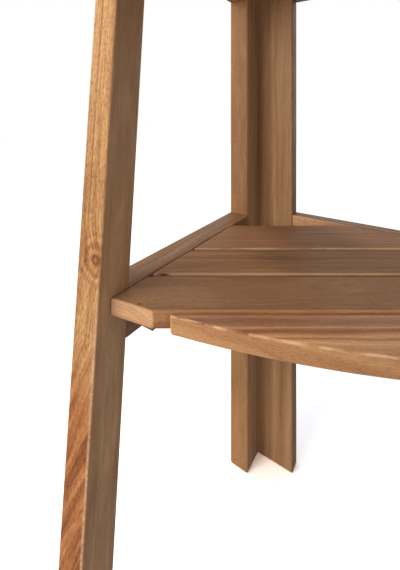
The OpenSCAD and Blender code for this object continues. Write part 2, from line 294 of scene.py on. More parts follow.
def spread(value, low, high, to_low=0.0, to_high=1.0):
    """The value with low to high taken to a new range, and held there."""
    sockets = {"Value": value, "From Min": low, "From Max": high, "To Min": to_low, "To Max": to_high}
    return Value(add_node(value.socket.id_data, "ShaderNodeMapRange", sockets).outputs["Result"])


def bell(square, sharpness=1.0):
    """exp(-sharpness * square): 1 in the middle, and softly down to 0 around it."""
    return (square * -sharpness).math("EXPONENT")


print("helpers made: vector_math, parts_of, attribute, stretched_noise, spread, bell")

# %% [markdown]
# ## The log
# Wood is a solid of growth rings. A picture of grain wrapped round a board would show seams at its
# arrises and long figure on its sawn ends. So the pattern is worked out in the log: each board carries,
# at every point, its place in the log that it was cut from. Flat faces then show long figure and sawn
# ends show rings. The rings follow the distance from the log's heart, and a knot pushes them aside.

# %% The log
WANDER_SCALE, WANDER_REACH = (0.06, 0.35, 0.35), (0, 1.3, 1.3)
CURL_SCALE, CURL, KNOT_RINGS, KNOT_PHASE, KNOT_FADE = (0.8, 1.0, 1.0), 0.4, 13.0, 1.5, 0.45
EYE_RADIUS, EYE_HALF = 0.19, 0.08


def ellipsoid(spot, centre, reach):
    """The square of the distance from the centre, in units of the reach along each axis."""
    x, y, z = [(part - middle) / half for part, middle, half in zip(spot, centre, reach)]
    return x * x + y * y + z * z


def rings_at(tree, face, slant, knots):
    """Where a point lies among the rings of its log, in centimetres, as a set of values.

    bent is the place with a slow wander of at most 0.65 cm across the grain, and heart is its distance
    from the log's middle. shown is 1 on the board's show face, where it has one. A slant (x, slope) adds
    slope * (x - along) to heart below x, so the rings cross the face at an angle there. A knot adds
    height * exp(-d^2), with d the distance from it in units of its reach. swirl is the knot's own rings,
    cos(13 (d + curl) - 1.5) * exp(-0.45 d^4), eye a dark line round its middle and blush its redder wood.
    """
    place = add_node(tree, "ShaderNodeAttribute", attribute_name="log_place").outputs["Vector"]
    wander = stretched_noise(place, WANDER_SCALE, 2.0, output="Color")
    wander = vector_math("ADD", wander, (-0.5, -0.5, -0.5))
    bent = vector_math("ADD", place, vector_math("MULTIPLY", wander, WANDER_REACH))
    at = SimpleNamespace(place=place, bent=bent, spot=parts_of(place), bent_parts=parts_of(bent))
    at.swirl, at.eye, at.blush = 0.0, 0.0, 0.0
    at.along, y, z = at.bent_parts
    at.shown = spread(at.spot[face[0]], *face[1:]) if face else 0.0
    at.heart = (y * y + z * z).math("SQRT")
    if slant:
        below = (at.along * -1.0 + slant[0]).math("MAXIMUM", 0.0) * at.shown
        at.heart = at.heart + below * slant[1]
    for centre, reach, height in knots:
        square = ellipsoid(at.spot, centre, reach)
        curl = stretched_noise(place, CURL_SCALE, 2.0) * CURL
        distance = square.math("SQRT")
        fade = bell(square) * at.shown
        at.heart = at.heart + fade * height
        rings = ((distance + curl) * KNOT_RINGS - KNOT_PHASE).math("COSINE")
        at.swirl = rings * bell(square * square, KNOT_FADE) * at.shown + at.swirl
        at.blush = fade + at.blush
        rim = (distance - EYE_RADIUS) / EYE_HALF
        at.eye = bell(rim * rim) * at.shown + at.eye
    at.ringed = add_node(tree, "ShaderNodeCombineXYZ", {0: at.along, 1: at.heart, 2: 0.0}).outputs[0]
    return at


print("helpers made: ellipsoid, rings_at")

# %% [markdown]
# ## Bands, fibres and pores
# Close up the wood shows broad bands of rings, finer streaks in them, fibres along the grain and short
# dark pores. They could be painted on each board by hand, but all of them are noise with its own
# stretch, so one function gives them to every board. The pores lie along a line that sways, because
# real ones drift a little, and bend round a knot.

# %% Bands, fibres and pores
BAND, STREAK, RING_LINE = (0.035, 1.15, 0), (0.22, 6.5, 0), (0.5, 17.0, 0)
FIBRE, LIGHT_DASH, DARK_DASH = (2.4, 34.0, 34.0), (1.7, 9.0, 9.0), (2.4, 12.0, 12.0)
RIPPLE_ACROSS, SWAY_SCALE, SWAY, KNOT_SWAY, OFF_FACE = 2.0, (0.9, 1.2, 1.2), 0.45, 0.5, 0.3


def add_grain(tree, at, bands, wear_grain, has_face):
    """Adds the fine patterns to the values of rings_at.

    Each is noise with its own scale, along the grain and across it, in noise cells per centimetre.
    band, streak and ring_line are noise over (length, distance from the heart), so they follow the
    rings. fibre and ripple are drawn out along the grain. light_dash and dark_dash are short strokes,
    at a place that a slow sway has moved across the grain. Beside a show face they are fainter.
    """
    at.band = stretched_noise(at.ringed, (BAND[0], BAND[1] * bands, BAND[2]), 2.0)
    at.streak = stretched_noise(at.ringed, STREAK, 3.0, 0.6)
    at.ring_line = spread(stretched_noise(at.ringed, RING_LINE, 2.0), 0.3, 0.7, -0.22, 0.22)
    at.ripple = stretched_noise(at.bent, (wear_grain, RIPPLE_ACROSS, RIPPLE_ACROSS), 3.0)
    at.fibre = stretched_noise(at.bent, FIBRE, 2.0)
    sway = stretched_noise(at.place, SWAY_SCALE, 2.0) * SWAY + at.blush * KNOT_SWAY
    sway = add_node(tree, "ShaderNodeCombineXYZ", {0: 0.0, 1: sway, 2: sway}).outputs[0]
    swaying = vector_math("ADD", at.bent, sway)
    at.light_dash = spread(stretched_noise(swaying, LIGHT_DASH, 2.0), 0.32, 0.68, -1.0, 1.0)
    at.dark_dash = spread(stretched_noise(swaying, DARK_DASH, 1.0), 0.53, 0.68)
    if has_face:
        on_face = at.shown * (1 - OFF_FACE) + OFF_FACE
        at.light_dash, at.dark_dash = at.light_dash * on_face, at.dark_dash * on_face


print("helper made: add_grain")

# %% [markdown]
# ## Tone and shade
# A board is darker in some bands of its figure than in others. The noise itself could be the colour,
# but then pale and dark wood would differ in brightness alone. So the figure first gives a tone from 0
# to 1, which picks a colour from a ramp, and then a shade near 1, which makes that colour lighter or
# darker: dashes, fibres, a knot's rings and the ring lines of a sawn end.

# %% Tone and shade
FIGURE_CONTRAST, SAWN_CALM, BAND_SHARE, STREAK_SHARE = 3.4, 0.5, 0.62, 0.38
LIGHT_DASH_GAIN, SWIRL_GAIN, EYE_LOSS, FOOT_GAIN = 0.2, 0.27, 0.45, 0.5


def wood_tone(at, figure, face_figure, foot):
    """0.5 + contrast * (0.62 band + 0.38 streak - 0.5). The contrast is less on sawn ends, and more on
    the show face and at a red foot."""
    full = FIGURE_CONTRAST * figure
    contrast = at.sawn * (-SAWN_CALM * full) + full
    if face_figure:
        contrast = contrast * (at.shown * face_figure + 1.0)
    if foot:
        contrast = contrast * (foot * FOOT_GAIN + 1.0)
    return (at.band * BAND_SHARE + at.streak * STREAK_SHARE - 0.5) * contrast + 0.5


def wood_shade(at, dashes, sawn_gain, has_knots):
    """The product of 1 + gain * pattern for each pattern, so each one lightens or darkens by its gain."""
    shade = (at.light_dash * (LIGHT_DASH_GAIN * dashes) + 1.0) * spread(at.fibre, 0.3, 0.7, 0.93, 1.07)
    if has_knots:
        shade = shade * (at.swirl * SWIRL_GAIN + 1.0) * (at.eye * -EYE_LOSS + 1.0)
    return shade * (at.sawn * sawn_gain + 1.0) * (at.ring_line * at.sawn + 1.0)


print("helpers made: wood_tone, wood_shade")

# %% [markdown]
# ## Stains
# Pores, knots and the foot are the same wood in a deeper colour, and a sawn end is a cooler, paler one.
# Mixing in a fixed brown would hide the figure below it. A stain multiplies the colour instead, as oil
# in real wood does, and the figure shows through. Only an arris gets a colour of its own: a pale tan,
# partly rubbing and partly a painted highlight.

# %% Stains
PORE_STAIN, SAWN_STAIN, BLUSH_STAIN = (0.66, 0.50, 0.38), (1.01, 1.09, 1.25), (0.93, 0.81, 0.77)
# The pale tan of the arrises is partly rubbing and partly a painted highlight.
FOOT_STAIN, MARK_STAIN, WEAR_AND_HIGHLIGHT_TAN = (0.76, 0.52, 0.38), (0.22, 0.16, 0.12), (0.93, 0.55, 0.32, 1)


def scaled(tree, colour, shade):
    """A colour times one number."""
    sockets = {0: colour, "Scale": shade}
    return add_node(tree, "ShaderNodeVectorMath", sockets, operation="SCALE").outputs[0]


def mixed_colour(tree, share, colour, other):
    """The colour where the share is 0, and the other one where it is 1."""
    return add_node(tree, "ShaderNodeMix", {0: share, 6: colour, 7: other}, data_type="RGBA").outputs[2]


def stained(colour, share, stain):
    """The colour times a stain, where the share is 1."""
    return mixed_colour(colour.id_data, share, colour, vector_math("MULTIPLY", colour, stain))


def colour_ramp(tree, tone, stops):
    """Smooth colours over the tone, from (position, colour) stops."""
    ramp = add_node(tree, "ShaderNodeValToRGB", {0: tone})
    ramp.color_ramp.interpolation = "B_SPLINE"
    while len(ramp.color_ramp.elements) < len(stops):
        ramp.color_ramp.elements.new(0.5)
    for element, (position, colour) in zip(ramp.color_ramp.elements, stops):
        element.position, element.color = position, (*colour, 1)
    return ramp.outputs["Color"]


print("darkest stain:", min(MARK_STAIN), "of the wood's own colour")

# %% [markdown]
# ## Oiled hardwood
# The stand is an oiled, reddish brown hardwood with a low gloss. Its colour is a ramp over the bands and
# streaks, the stains lie on that, and planed arrises go to a pale tan that is partly rubbing and partly a
# painted highlight where an arris catches the lamp. Each surface carries that pale tan and its sawn ends
# as numbers at its points: a Bevel node could find the arrises by itself, but it is slow, and can't tell
# an arris that hands rub or the lamp catches from one that neither reaches.

# %% Oiled hardwood
STREAK_RELIEF, FIBRE_RELIEF, PORE_RELIEF, BUMP_STRENGTH, BUMP_HEIGHT = 0.4, 0.3, 0.5, 0.4, 0.0005
FLAME_START = 5.0


def principled(tree, sockets):
    """Ends a material with a Principled shader that has these inputs."""
    surface = add_node(tree, "ShaderNodeBsdfPrincipled", sockets)
    add_node(tree, "ShaderNodeOutputMaterial", {"Surface": surface.outputs[0]})


def oiled_wood(name, stops, figure=1.0, bands=1.0, dashes=0.5, gloss=0.2, face=None, face_figure=0.0,
               slant=None, knots=(), marks=(), flames=(), red_foot=None, wear_highlight_gain=0.3, wear_highlight_least=0.35,
               wear_grain=0.4, sawn_gain=0.3):
    """Oiled hardwood that reads a board's place in its log, in centimetres, from its own attribute.

    figure is the contrast of the rings and bands their fineness; dashes is the strength of the pores.
    A face (axis, low, high) is the part of the board beyond that range of that coordinate: face_figure
    makes the figure stronger there, and it alone carries slant, knots, flames and the red foot. A mark
    is a small dark ellipsoid. A flame (across, half width, start, stain) is a long soft stripe of a
    stain beyond its start, exp(-((v - across) / half)^2) with v the other coordinate across the board.
    A red foot (high, low) deepens the colour over that range of the length. Arrises go towards a pale
    tan, partly rubbing and partly a painted highlight, by wear_highlight_gain, or less, down to
    wear_highlight_least of it, as a noise of the scale wear_grain says.
    Sawn ends are lighter by sawn_gain.
    """
    material, tree = blank_material(name)
    at = rings_at(tree, face, slant, knots)
    at.sawn, wear_and_highlight = attribute(tree, "sawn"), attribute(tree, "wear_and_highlight")
    add_grain(tree, at, bands, wear_grain, has_face=face_figure > 0)
    foot = spread(at.spot[0], *red_foot) if red_foot else None
    ramp = colour_ramp(tree, wood_tone(at, figure, face_figure, foot), stops)
    shade = wood_shade(at, dashes, sawn_gain, has_knots=bool(knots))
    tint = add_node(tree, "ShaderNodeAttribute", attribute_name="board_tint").outputs["Vector"]
    colour = scaled(tree, vector_math("MULTIPLY", ramp, tint), shade)

    # Stains, then the arrises' pale tan of rubbing and painted highlight, and the marks last.
    colour = stained(stained(colour, at.dark_dash * dashes, PORE_STAIN), at.sawn, SAWN_STAIN)
    if knots:
        colour = stained(colour, at.blush, BLUSH_STAIN)
    for across, half, start, stain in flames:
        off = (at.bent_parts[3 - face[0]] - across) / half
        share = bell(off * off) * spread(at.along, start, start + FLAME_START) * at.shown
        colour = stained(colour, share, stain)
    if red_foot:
        colour = stained(colour, foot * spread(at.band, 0.42, 0.58, 1.0, 0.85) * at.shown, FOOT_STAIN)
    # Pale arrises: partly rubbing, partly a painted highlight where they catch the lamp.
    wear_and_highlight = wear_and_highlight * spread(at.ripple, 0.42, 0.58, wear_highlight_least * wear_highlight_gain, wear_highlight_gain)
    colour = mixed_colour(tree, wear_and_highlight, colour, WEAR_AND_HIGHLIGHT_TAN)
    for centre, reach in marks:
        square = ellipsoid(at.spot, centre, reach)
        colour = stained(colour, bell(square * square), MARK_STAIN)

    # Streaks and fibres stand a little proud, and pores lie deeper.
    relief = at.streak * STREAK_RELIEF + at.fibre * FIBRE_RELIEF - at.dark_dash * (PORE_RELIEF * dashes)
    sockets = {"Strength": BUMP_STRENGTH, "Distance": BUMP_HEIGHT, "Height": relief}
    normal = add_node(tree, "ShaderNodeBump", sockets).outputs[0]
    roughness = spread(at.streak, 0.3, 0.7, 0.56, 0.44)
    looks = {"Base Color": colour, "Roughness": roughness, "Specular IOR Level": gloss}
    principled(tree, {**looks, "Normal": normal})
    return material


print("helpers made: principled, oiled_wood")

# %% [markdown]
# ## The woods
# Boards of one species differ: the legs and posts are golden, the slats browner and duller, and the
# curved front slat is the reddest. Three finishes that are drawn one by one would drift apart. One
# recipe with three ramps keeps them a family. Pieces with marks of their own get their own wood further
# down.

# %% The woods
GOLDEN = [
    (0.0, (0.21, 0.085, 0.034)), (0.35, (0.38, 0.175, 0.070)), (0.65, (0.50, 0.255, 0.110)),
    (1.0, (0.64, 0.36, 0.17)),
]
BROWN = [
    (0.0, (0.19, 0.078, 0.036)), (0.35, (0.31, 0.145, 0.065)), (0.65, (0.40, 0.20, 0.094)),
    (1.0, (0.54, 0.29, 0.145)),
]
RUSSET = [
    (0.0, (0.34, 0.135, 0.062)), (0.35, (0.53, 0.245, 0.115)), (0.65, (0.66, 0.335, 0.160)),
    (1.0, (0.80, 0.47, 0.25)),
]
SLAT_LOOK = {"stops": BROWN, "figure": 0.4, "bands": 1.3, "gloss": 0.05}
WOODS = {
    "frame_wood": oiled_wood("oiled_frame_wood", GOLDEN, figure=0.6),
    "slat_wood": oiled_wood("oiled_slat_wood", dashes=0.3, wear_highlight_gain=0.8, **SLAT_LOOK),
    "support_wood": oiled_wood("oiled_support_wood", BROWN, figure=0.8, dashes=0.4),
    "post_wood": oiled_wood("oiled_post_wood", GOLDEN, figure=0.42, dashes=0.25),
}
print("finishes:", ", ".join(WOODS))

# %% [markdown]
# ## Sections
# Planed timber has eased arrises. A box with a Bevel modifier would have them too, but not with the pale
# rubbing and painted highlight along each one, or with sawn ends that lean. So each piece is a closed
# outline, its section, that is carried along the board. This cell makes the outline: its corners are
# arcs.

# %% Sections
ARC_POINTS = 7


def section(corners, radii, cuts, right, wear=None, firm=None, sharp=1.0):
    """Anticlockwise outline with rounded corners, as a dict of arrays.

    Corner i is an arc of radii[i]: its centre lies one radius inside both edges, and its points are
    centre + radius * (cos, sin) while the outward normal turns from one edge to the next. Edge i runs
    from corner i to the next one and is cut at the fractions cuts[i]. Edge `right` and the last edge
    are the two short sides; between them lie the bottom and the top, which have equal counts.
    wear says how pale each arris is made, partly for rubbing and partly as a painted
    highlight, and sharp how much that keeps to its middle. A point's give is the most that it may draw
    in at a sawn end: its corner's radius, and between two corners a straight mix of theirs, times its
    edge's share in firm.
    """
    corners = np.asarray(corners, float)
    ahead = np.roll(corners, -1, axis=0) - corners
    length = np.linalg.norm(ahead, axis=1)
    ahead /= length[:, None]
    points, normals, wear_and_highlight, give, edge_start = [], [], [], [], []
    wear, firm = wear or [1.0] * len(radii), firm or [1.0] * len(radii)
    # The arris's pale strip, partly rubbing and partly a painted highlight, keeps to the arc's middle.
    wear_highlight_profile = np.sin(np.linspace(0.02, 0.98, ARC_POINTS) * math.pi) ** sharp
    for i, radius in enumerate(radii):
        into, out = ahead[i - 1], ahead[i]
        turn = math.atan2(into[0] * out[1] - into[1] * out[0], float(into @ out))
        first = math.atan2(-into[0], into[1])
        angle = first + turn * np.linspace(0, 1, ARC_POINTS)
        normal = np.stack([np.cos(angle), np.sin(angle)], axis=1)
        centre = corners[i] - into * radius * math.tan(turn / 2) + radius * np.array([-into[1], into[0]])
        fractions = np.asarray(cuts[i], float)
        points += [centre + radius * normal, corners[i] + np.outer(fractions, out * length[i])]
        normals += [normal, np.tile([out[1], -out[0]], (len(fractions), 1))]
        wear_and_highlight += [wear[i] * wear_highlight_profile, np.zeros(len(fractions))]
        further = radius + fractions * (radii[(i + 1) % len(radii)] - radius)
        give += [radius * np.linspace(firm[i - 1], firm[i], ARC_POINTS), firm[i] * further]
        edge_start.append(sum(map(len, points)) - len(fractions) - 1)
    assert len(cuts[right]) == len(cuts[-1]), "the two short sides need equal counts"
    points, normals, wear_and_highlight, give = (np.concatenate(rows) for rows in (points, normals, wear_and_highlight, give))
    return {
        "points": points, "normals": normals, "wear_and_highlight": wear_and_highlight, "give": give,
        "right": edge_start[right], "short": len(cuts[-1]) + 1, "cuts": cuts[-1],
    }


corner_radii = [0.001, 0.002, 0.001, 0.002]
square = section([(0, 0), (0.01, 0), (0.01, 0.01), (0, 0.01)], corner_radii, [[0.5]] * 4, right=1)
print("a square's section with one point on each edge has", len(square["points"]), "points")

# %% [markdown]
# ## Sections of bars
# Nearly all the pieces are bars, so their section is a rectangle. Four corners and four arcs would be
# enough for its shape. But smooth shading runs from point to point, and a flat face would look pillowed.
# So each edge gets a point close beside either arris, which holds the face flat between them, and then
# points about every 6 mm for the tints.

# %% Sections of bars
GRID_STEP, SHOULDER = 0.006, 0.0012


def shouldered(width, inset, step=GRID_STEP, extra=()):
    """Fractions that cut an edge of that width: close beside both arrises, and then about every step."""
    near = (inset + SHOULDER) / width
    count = max(1, round((1 - 2 * near) * width / step))
    return np.unique(np.round(np.concatenate([np.linspace(near, 1 - near, count + 1), extra]), 9))


def box_section(width, height, ease, extra=(), **ways):
    """A rectangle about (0, 0) with rounded arrises. Places across the width in extra get a point."""
    w, h = width / 2, height / 2
    corners = [(-w, -h), (w, -h), (w, h), (-w, h)]
    across, upright = shouldered(width, ease, extra=np.add(extra, w) / width), shouldered(height, ease)
    cuts = [across, upright, 1 - across[::-1], 1 - upright[::-1]]
    return section(corners, [ease] * 4, cuts, right=1, **ways)


print("a rail's section has", len(box_section(RAIL_H, FRAME_T, FRAME_EASE)["points"]), "points")

# %% [markdown]
# ## Closing an end
# A sawn end is flat, so it could be one face with fifty corners. But an export cuts such a face into
# long thin fans, and it has no points inside that could carry the place in the log. So a grid of
# four-sided faces closes it: its columns run from the points of the bottom edge to those of the top.


# %% Closing an end
def end_grid(outline, ring, new):
    """Vertex numbers of the grid that closes an end: its border is the ring, its inside is new."""
    n, right, short = len(ring), outline["right"], outline["short"]
    grid = np.empty((short + 1, right + 1), int)
    grid[0] = ring[: right + 1]
    grid[-1] = ring[right + short : n - short + 1][::-1]
    grid[:, -1] = ring[right : right + short + 1]
    grid[:, 0] = ring[np.r_[0, np.arange(n - 1, n - short - 1, -1)]]
    grid[1:-1, 1:-1] = new
    return grid


print("rows and columns of a square's end grid:", end_grid(square, np.arange(32), 0).shape)

# %% [markdown]
# ## Carrying a section along a board
# The section is carried from one sawn end to the other. A lathe or a screw modifier can't end on a
# slanted plane, so the places along the board are worked out for each point: the start and the end are
# functions of the place in the section. The last rings draw in over a quarter circle, which eases the
# sawn ends.

# %% Carrying a section
EASE_POINTS = 4
# The eased ends get the pale tan too: partly rubbing, partly a painted highlight.
END_WEAR_HIGHLIGHT, END_SAWN = (0.3, 1, 1, 0.6), (1, 0.8, 0.4, 0)


def both_ends(values, between, count):
    """A column of the values, then `between` count times, then the values backwards."""
    return np.r_[values, np.full(count, between), values[::-1]][:, None]


def flat(t):
    """A square end: the same distance along the board over the whole section."""
    return lambda p, q: 0 * p + t


def carry(outline, axes, start, end, steps, ease, reshape=None, end_wear=0.4):
    """Carries a section along a board: point = origin + p * e1 + q * e2 + t * along.

    t runs from start(p, q) to end(p, q). At each end the outline draws in by e * (1 - sin a) while t
    moves by e * (1 - cos a), a quarter circle, where e is ease or the point's give if that is less.
    Gives vertices, faces and the attributes.
    """
    origin, e1, e2, along = (np.asarray(v, float) for v in axes)
    quarter, between = np.linspace(0, math.pi / 2, EASE_POINTS), len(steps)
    ease = np.minimum(ease, outline["give"])[None]
    inset = both_ends(1 - np.sin(quarter), 0, between) * ease
    shift = both_ends(1 - np.cos(quarter), 1, between) * ease
    flat_rings = outline["points"][None] - inset[:, :, None] * outline["normals"][None]
    p, q = flat_rings[..., 0], flat_rings[..., 1]
    mix = np.r_[np.zeros(EASE_POINTS), steps, np.ones(EASE_POINTS)][:, None]
    t = (start(p, q) + shift) * (1 - mix) + (end(p, q) - shift) * mix
    wear_and_highlight = np.maximum(outline["wear_and_highlight"][None], end_wear * both_ends(END_WEAR_HIGHLIGHT, 0, between))
    sawn = both_ends(END_SAWN, 0, between) + 0 * p

    rings, n = p.shape
    number = np.arange(rings * n).reshape(rings, n)
    ahead = np.roll(number, -1, axis=1)
    faces = [np.stack([number[:-1], ahead[:-1], ahead[1:], number[1:]], axis=-1).reshape(-1, 4)]
    columns = [[values.ravel()] for values in (p, q, t, wear_and_highlight, sawn)]
    right, short = outline["right"], outline["short"]
    up = (1 - np.asarray(outline["cuts"]))[::-1][:, None, None]
    for ring, plane, turned in ((0, start, True), (rings - 1, end, False)):
        low = flat_rings[ring][: right + 1][1:-1]
        high = flat_rings[ring][right + short : n - short + 1][::-1][1:-1]
        inner = low[None] * (1 - up) + high[None] * up
        in_p, in_q = inner[..., 0], inner[..., 1]
        size = sum(map(len, columns[0]))
        grid = end_grid(outline, number[ring], size + np.arange(in_p.size).reshape(in_p.shape))
        cells = np.stack([grid[:-1, :-1], grid[:-1, 1:], grid[1:, 1:], grid[1:, :-1]], axis=-1)
        cells = cells.reshape(-1, 4)
        faces.append(cells[:, ::-1] if turned else cells)
        for column, values in zip(columns, (in_p, in_q, plane(in_p, in_q), 0 * in_p, 0 * in_p + 1)):
            column.append(values.ravel())
    p, q, t, wear_and_highlight, sawn = (np.concatenate(column) for column in columns)
    if reshape:
        p, q = reshape(p, q, t)
    faces = np.concatenate(faces)
    if np.dot(np.cross(e1, e2), along) < 0:
        faces = faces[:, ::-1]
    points = origin + p[:, None] * e1 + q[:, None] * e2 + t[:, None] * along
    return points, faces, np.stack([t, p, q], axis=1), wear_and_highlight, sawn


outline = box_section(RAIL_H, FRAME_T, FRAME_EASE)
short_rail = carry(outline, ((0, 0, 0), *np.eye(3)), flat(0), flat(0.3), [0.5], FRAME_EASE)
print("a short rail has", len(short_rail[1]), "faces")

# %% [markdown]
# ## Places in the log
# Boards are sawn from different places of different logs, so no two of them show the same figure. A
# random number for each object could shift a pattern too, but then no knot could be set at a chosen
# place. So each board has its own turn, distance from the heart and slide along the trunk, which a
# seeded chance picks for most of them, the same at each run.

# %% Places in the log
CM = 100
rng = np.random.default_rng(5)


def lay_in_log(board, turn, heart, slide):
    """A board's points (t, p, q) as places in its log, in centimetres: the section is turned and moved
    off the heart, and the board slides along the trunk."""
    t, p, q = board.T
    cos, sin = math.cos(turn), math.sin(turn)
    place = np.stack([t + slide, p * cos - q * sin + heart[0], p * sin + q * cos + heart[1]], axis=1)
    return place * CM


def spot_in_log(spot, log):
    """A board's point (t, p, q) in metres as a place in its log, for a knot or a mark."""
    return tuple(lay_in_log(np.array([spot]), *log)[0].tolist())


def any_log(near=0.03, far=0.09):
    """A chance place in a log: turn, distance from the heart in both directions, and slide."""
    angle = rng.uniform(0, 2 * math.pi)
    reach = rng.uniform(near, far)
    return rng.uniform(-0.4, 0.4), (reach * math.cos(angle), reach * math.sin(angle)), rng.uniform(0, 40)


print("10 cm up a board that lies 5 cm off the heart:", spot_in_log((0.1, 0, 0), (0, (0.05, 0), 0)))

# %% [markdown]
# ## Boards in the scene
# A carried board becomes a mesh with four attributes beside its points: the place in the log, the
# board's tint, which also carries painted light and shade, its pale arrises, which are partly rubbing and
# partly a painted highlight, and how sawn it is. They could be vertex colours, but those hold only what
# an eye can see, while an attribute holds any number and goes wherever the surface goes.

# %% Boards in the scene
TIMBER_CREASE = math.radians(38)


def add_timber(node, wood, made, log, tint=(1, 1, 1)):
    """Puts a carried board into Blender in place of its CAD node. A tint is one colour, or a function of
    the board's points (t, p, q)."""
    points, faces, board, wear_and_highlight, sawn = made
    name = node + "_timber"
    mesh = bpy.data.meshes.new(name)
    mesh.vertices.add(len(points))
    mesh.vertices.foreach_set("co", points.astype(np.float32).ravel())
    mesh.loops.add(faces.size)
    mesh.loops.foreach_set("vertex_index", faces.astype(np.int32).ravel())
    mesh.polygons.add(len(faces))
    mesh.polygons.foreach_set("loop_start", np.arange(0, faces.size, 4, dtype=np.int32))
    mesh.polygons.foreach_set("use_smooth", np.ones(len(faces), bool))
    mesh.update(calc_edges=True)
    mesh.set_sharp_from_angle(angle=TIMBER_CREASE)
    tints = tint(*board.T) if callable(tint) else np.tile(tint, (len(points), 1))
    for key, values in (("log_place", lay_in_log(board, *log)), ("board_tint", tints)):
        layer = mesh.attributes.new(key, "FLOAT_VECTOR", "POINT")
        layer.data.foreach_set("vector", values.astype(np.float32).ravel())
    for key, values in (("wear_and_highlight", wear_and_highlight), ("sawn", sawn)):
        mesh.attributes.new(key, "FLOAT", "POINT").data.foreach_set("value", values.astype(np.float32))
    mesh.materials.append(wood)
    piece = put_in_scene(name, mesh)
    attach(piece, "root")
    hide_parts(node)
    return piece


print("faces that meet at over", round(math.degrees(TIMBER_CREASE)), "degrees keep a crease")

# %% [markdown]
# ## Directions and shades
# The two sides of the stand are alike, so a piece is written once, in its side's own directions. A
# negative scale could mirror a finished piece too, but would turn its surface inside out. Slow changes
# of colour over a board follow the board and not its grain; many of them are painted light and shade,
# such as a face in shade painted darker. They are tints at its points, and three small helpers place
# them.


# %% Directions and shades
def side_axes(side_name):
    """Directions of a side of the stand: along it, outwards from its inner face, and up."""
    side, half = SIDES[side_name], 1 / ROOT_2
    return np.array([side * half, -half, 0]), np.array([side * half, half, 0]), np.array([0, 0, 1.0])


def rise(value, start, width):
    """0 up to the start, 1 beyond start + width and straight between. A negative width turns it round."""
    return np.clip((value - start) / width, 0, 1)


def hump(value, centre, half):
    """exp(-((value - centre) / half)^2): 1 at the centre, and softly down to 0 around it."""
    return np.exp(-(((value - centre) / half) ** 2))


def blend(share, there, here):
    """The colour `there` where the share is 1 and `here` where it is 0, for an array of points."""
    return share[:, None] * np.array(there) + (1 - share[:, None]) * np.array(here)


print("the left side runs along", side_axes("left")[0].round(3))

# %% [markdown]
# ## Legs
# A leg is a flat bar, 43 by 25 mm, that leans back as it rises, in the plane of its side, and both its
# ends are sawn level. A box could be sheared into that lean, but a shear thins the bar. So the section
# is carried square to the leaning bar, and only the ends are level planes. The left leg is the nearest
# piece to the camera, so its figure isn't left to chance: it has a small knot at the height of the
# shelf, and redder wood with slanting rings towards the foot.

# %% Legs
# The legs' pale arrises, partly rubbing and partly a painted highlight, fade out higher up.
LEG_EASE, WEAR_HIGHLIGHT_BELOW, WEAR_HIGHLIGHT_FADE = 0.0020, 0.43, 0.06
# The front face looks towards the lamp; the side tint is painted shade, darker and cooler than the front.
LEG_FRONT_TINT, LEG_SIDE_PAINTED_SHADE = (1.25, 1.31, 1.30), (1.03, 1.12, 1.27)
LEFT_LEG_LOG = (0.0, (0.0, 0.045), 0.0)
KNOT = (spot_in_log((0.4258, 0.0215, -0.0078), LEFT_LEG_LOG), (1.8, 1.7, 1.7), 0.8)
STREAKS = [
    (4.92, 0.08, 42, (0.60, 0.50, 0.42)),
    (5.55, 0.3, 36, (1.10, 1.15, 1.2)),
    (3.6, 0.3, 44, (0.94, 0.86, 0.8)),
]
LEFT_LEG_WOOD = oiled_wood(
    "oiled_left_leg_wood", GOLDEN, figure=0.45, bands=0.9, dashes=0.9, face=(1, 1.8, 2.1),
    face_figure=0.8, knots=[KNOT], slant=(36.0, -0.36), red_foot=(36.5, 31.0), flames=STREAKS,
    wear_highlight_gain=0.85, wear_highlight_least=0.6, wear_grain=4.0,
)


def leg_painted_light_and_shade(t, p, q):
    """The front face, which faces the lamp, keeps its golden colour. The other faces carry painted shade:
    they are a little greyer and cooler, darker beside the front arris, and darker still along the back
    arris, which turns from the lamp. They are paler towards the foot, as painted light from the floor."""
    # Painted shade: 0.22 darker along the back arris, which turns from the lamp, and 0.10 beside the
    # front arris.
    edges = 0.10 * hump(p, LEG_W / 2 - 0.001, 0.004) + 0.22 * hump(p, -LEG_W / 2, 0.0022)
    # Painted light: the floor's bounce, painted paler towards the foot.
    foot = 0.12 * rise(t, 0.34, -0.06)
    side = (1 - edges + foot)[:, None] * np.array(LEG_SIDE_PAINTED_SHADE)
    return blend(rise(p, LEG_W / 2 - 0.003, 0.0025), LEG_FRONT_TINT, side)


def add_leg(side_name):
    """A leaning bar: p across its width behind the front face, q across its thickness. A level plane at
    height h is reached at t = (h - p * sin(lean)) / cos(lean). The arrises' pale tan, partly rubbing and
    partly a painted highlight, is fainter higher up."""
    forward, outward, up = side_axes(side_name)
    lean_cos, lean_sin = math.cos(LEG_LEAN), math.sin(LEG_LEAN)
    along = lean_cos * up - lean_sin * forward
    width = lean_cos * forward + lean_sin * up
    centre_p, centre_q = -LEG_W / 2, FRAME_T / 2
    origin = REAR_CORNER + SIDE_REACH * forward + centre_p * width + centre_q * outward

    def level(height):
        return lambda p, q: (height - (p + centre_p) * lean_sin) / lean_cos

    outline = box_section(LEG_W, FRAME_T, LEG_EASE, wear=[0.1, 1.0, 0.4, 0.1])
    steps = np.linspace(0.002, 0.998, 160)
    made = carry(outline, (origin, width, outward, along), level(0), level(FRAME_H), steps, FOOT_EASE)
    points, wear_and_highlight = made[0], made[3]
    wear_and_highlight *= np.clip((WEAR_HIGHLIGHT_BELOW - points[:, 2]) / WEAR_HIGHLIGHT_FADE, 0.2, 1)
    left = side_name == "left"
    wood, log = (LEFT_LEG_WOOD, LEFT_LEG_LOG) if left else (WOODS["frame_wood"], any_log())
    return add_timber(f"{side_name}_leg", wood, made, log, leg_painted_light_and_shade)


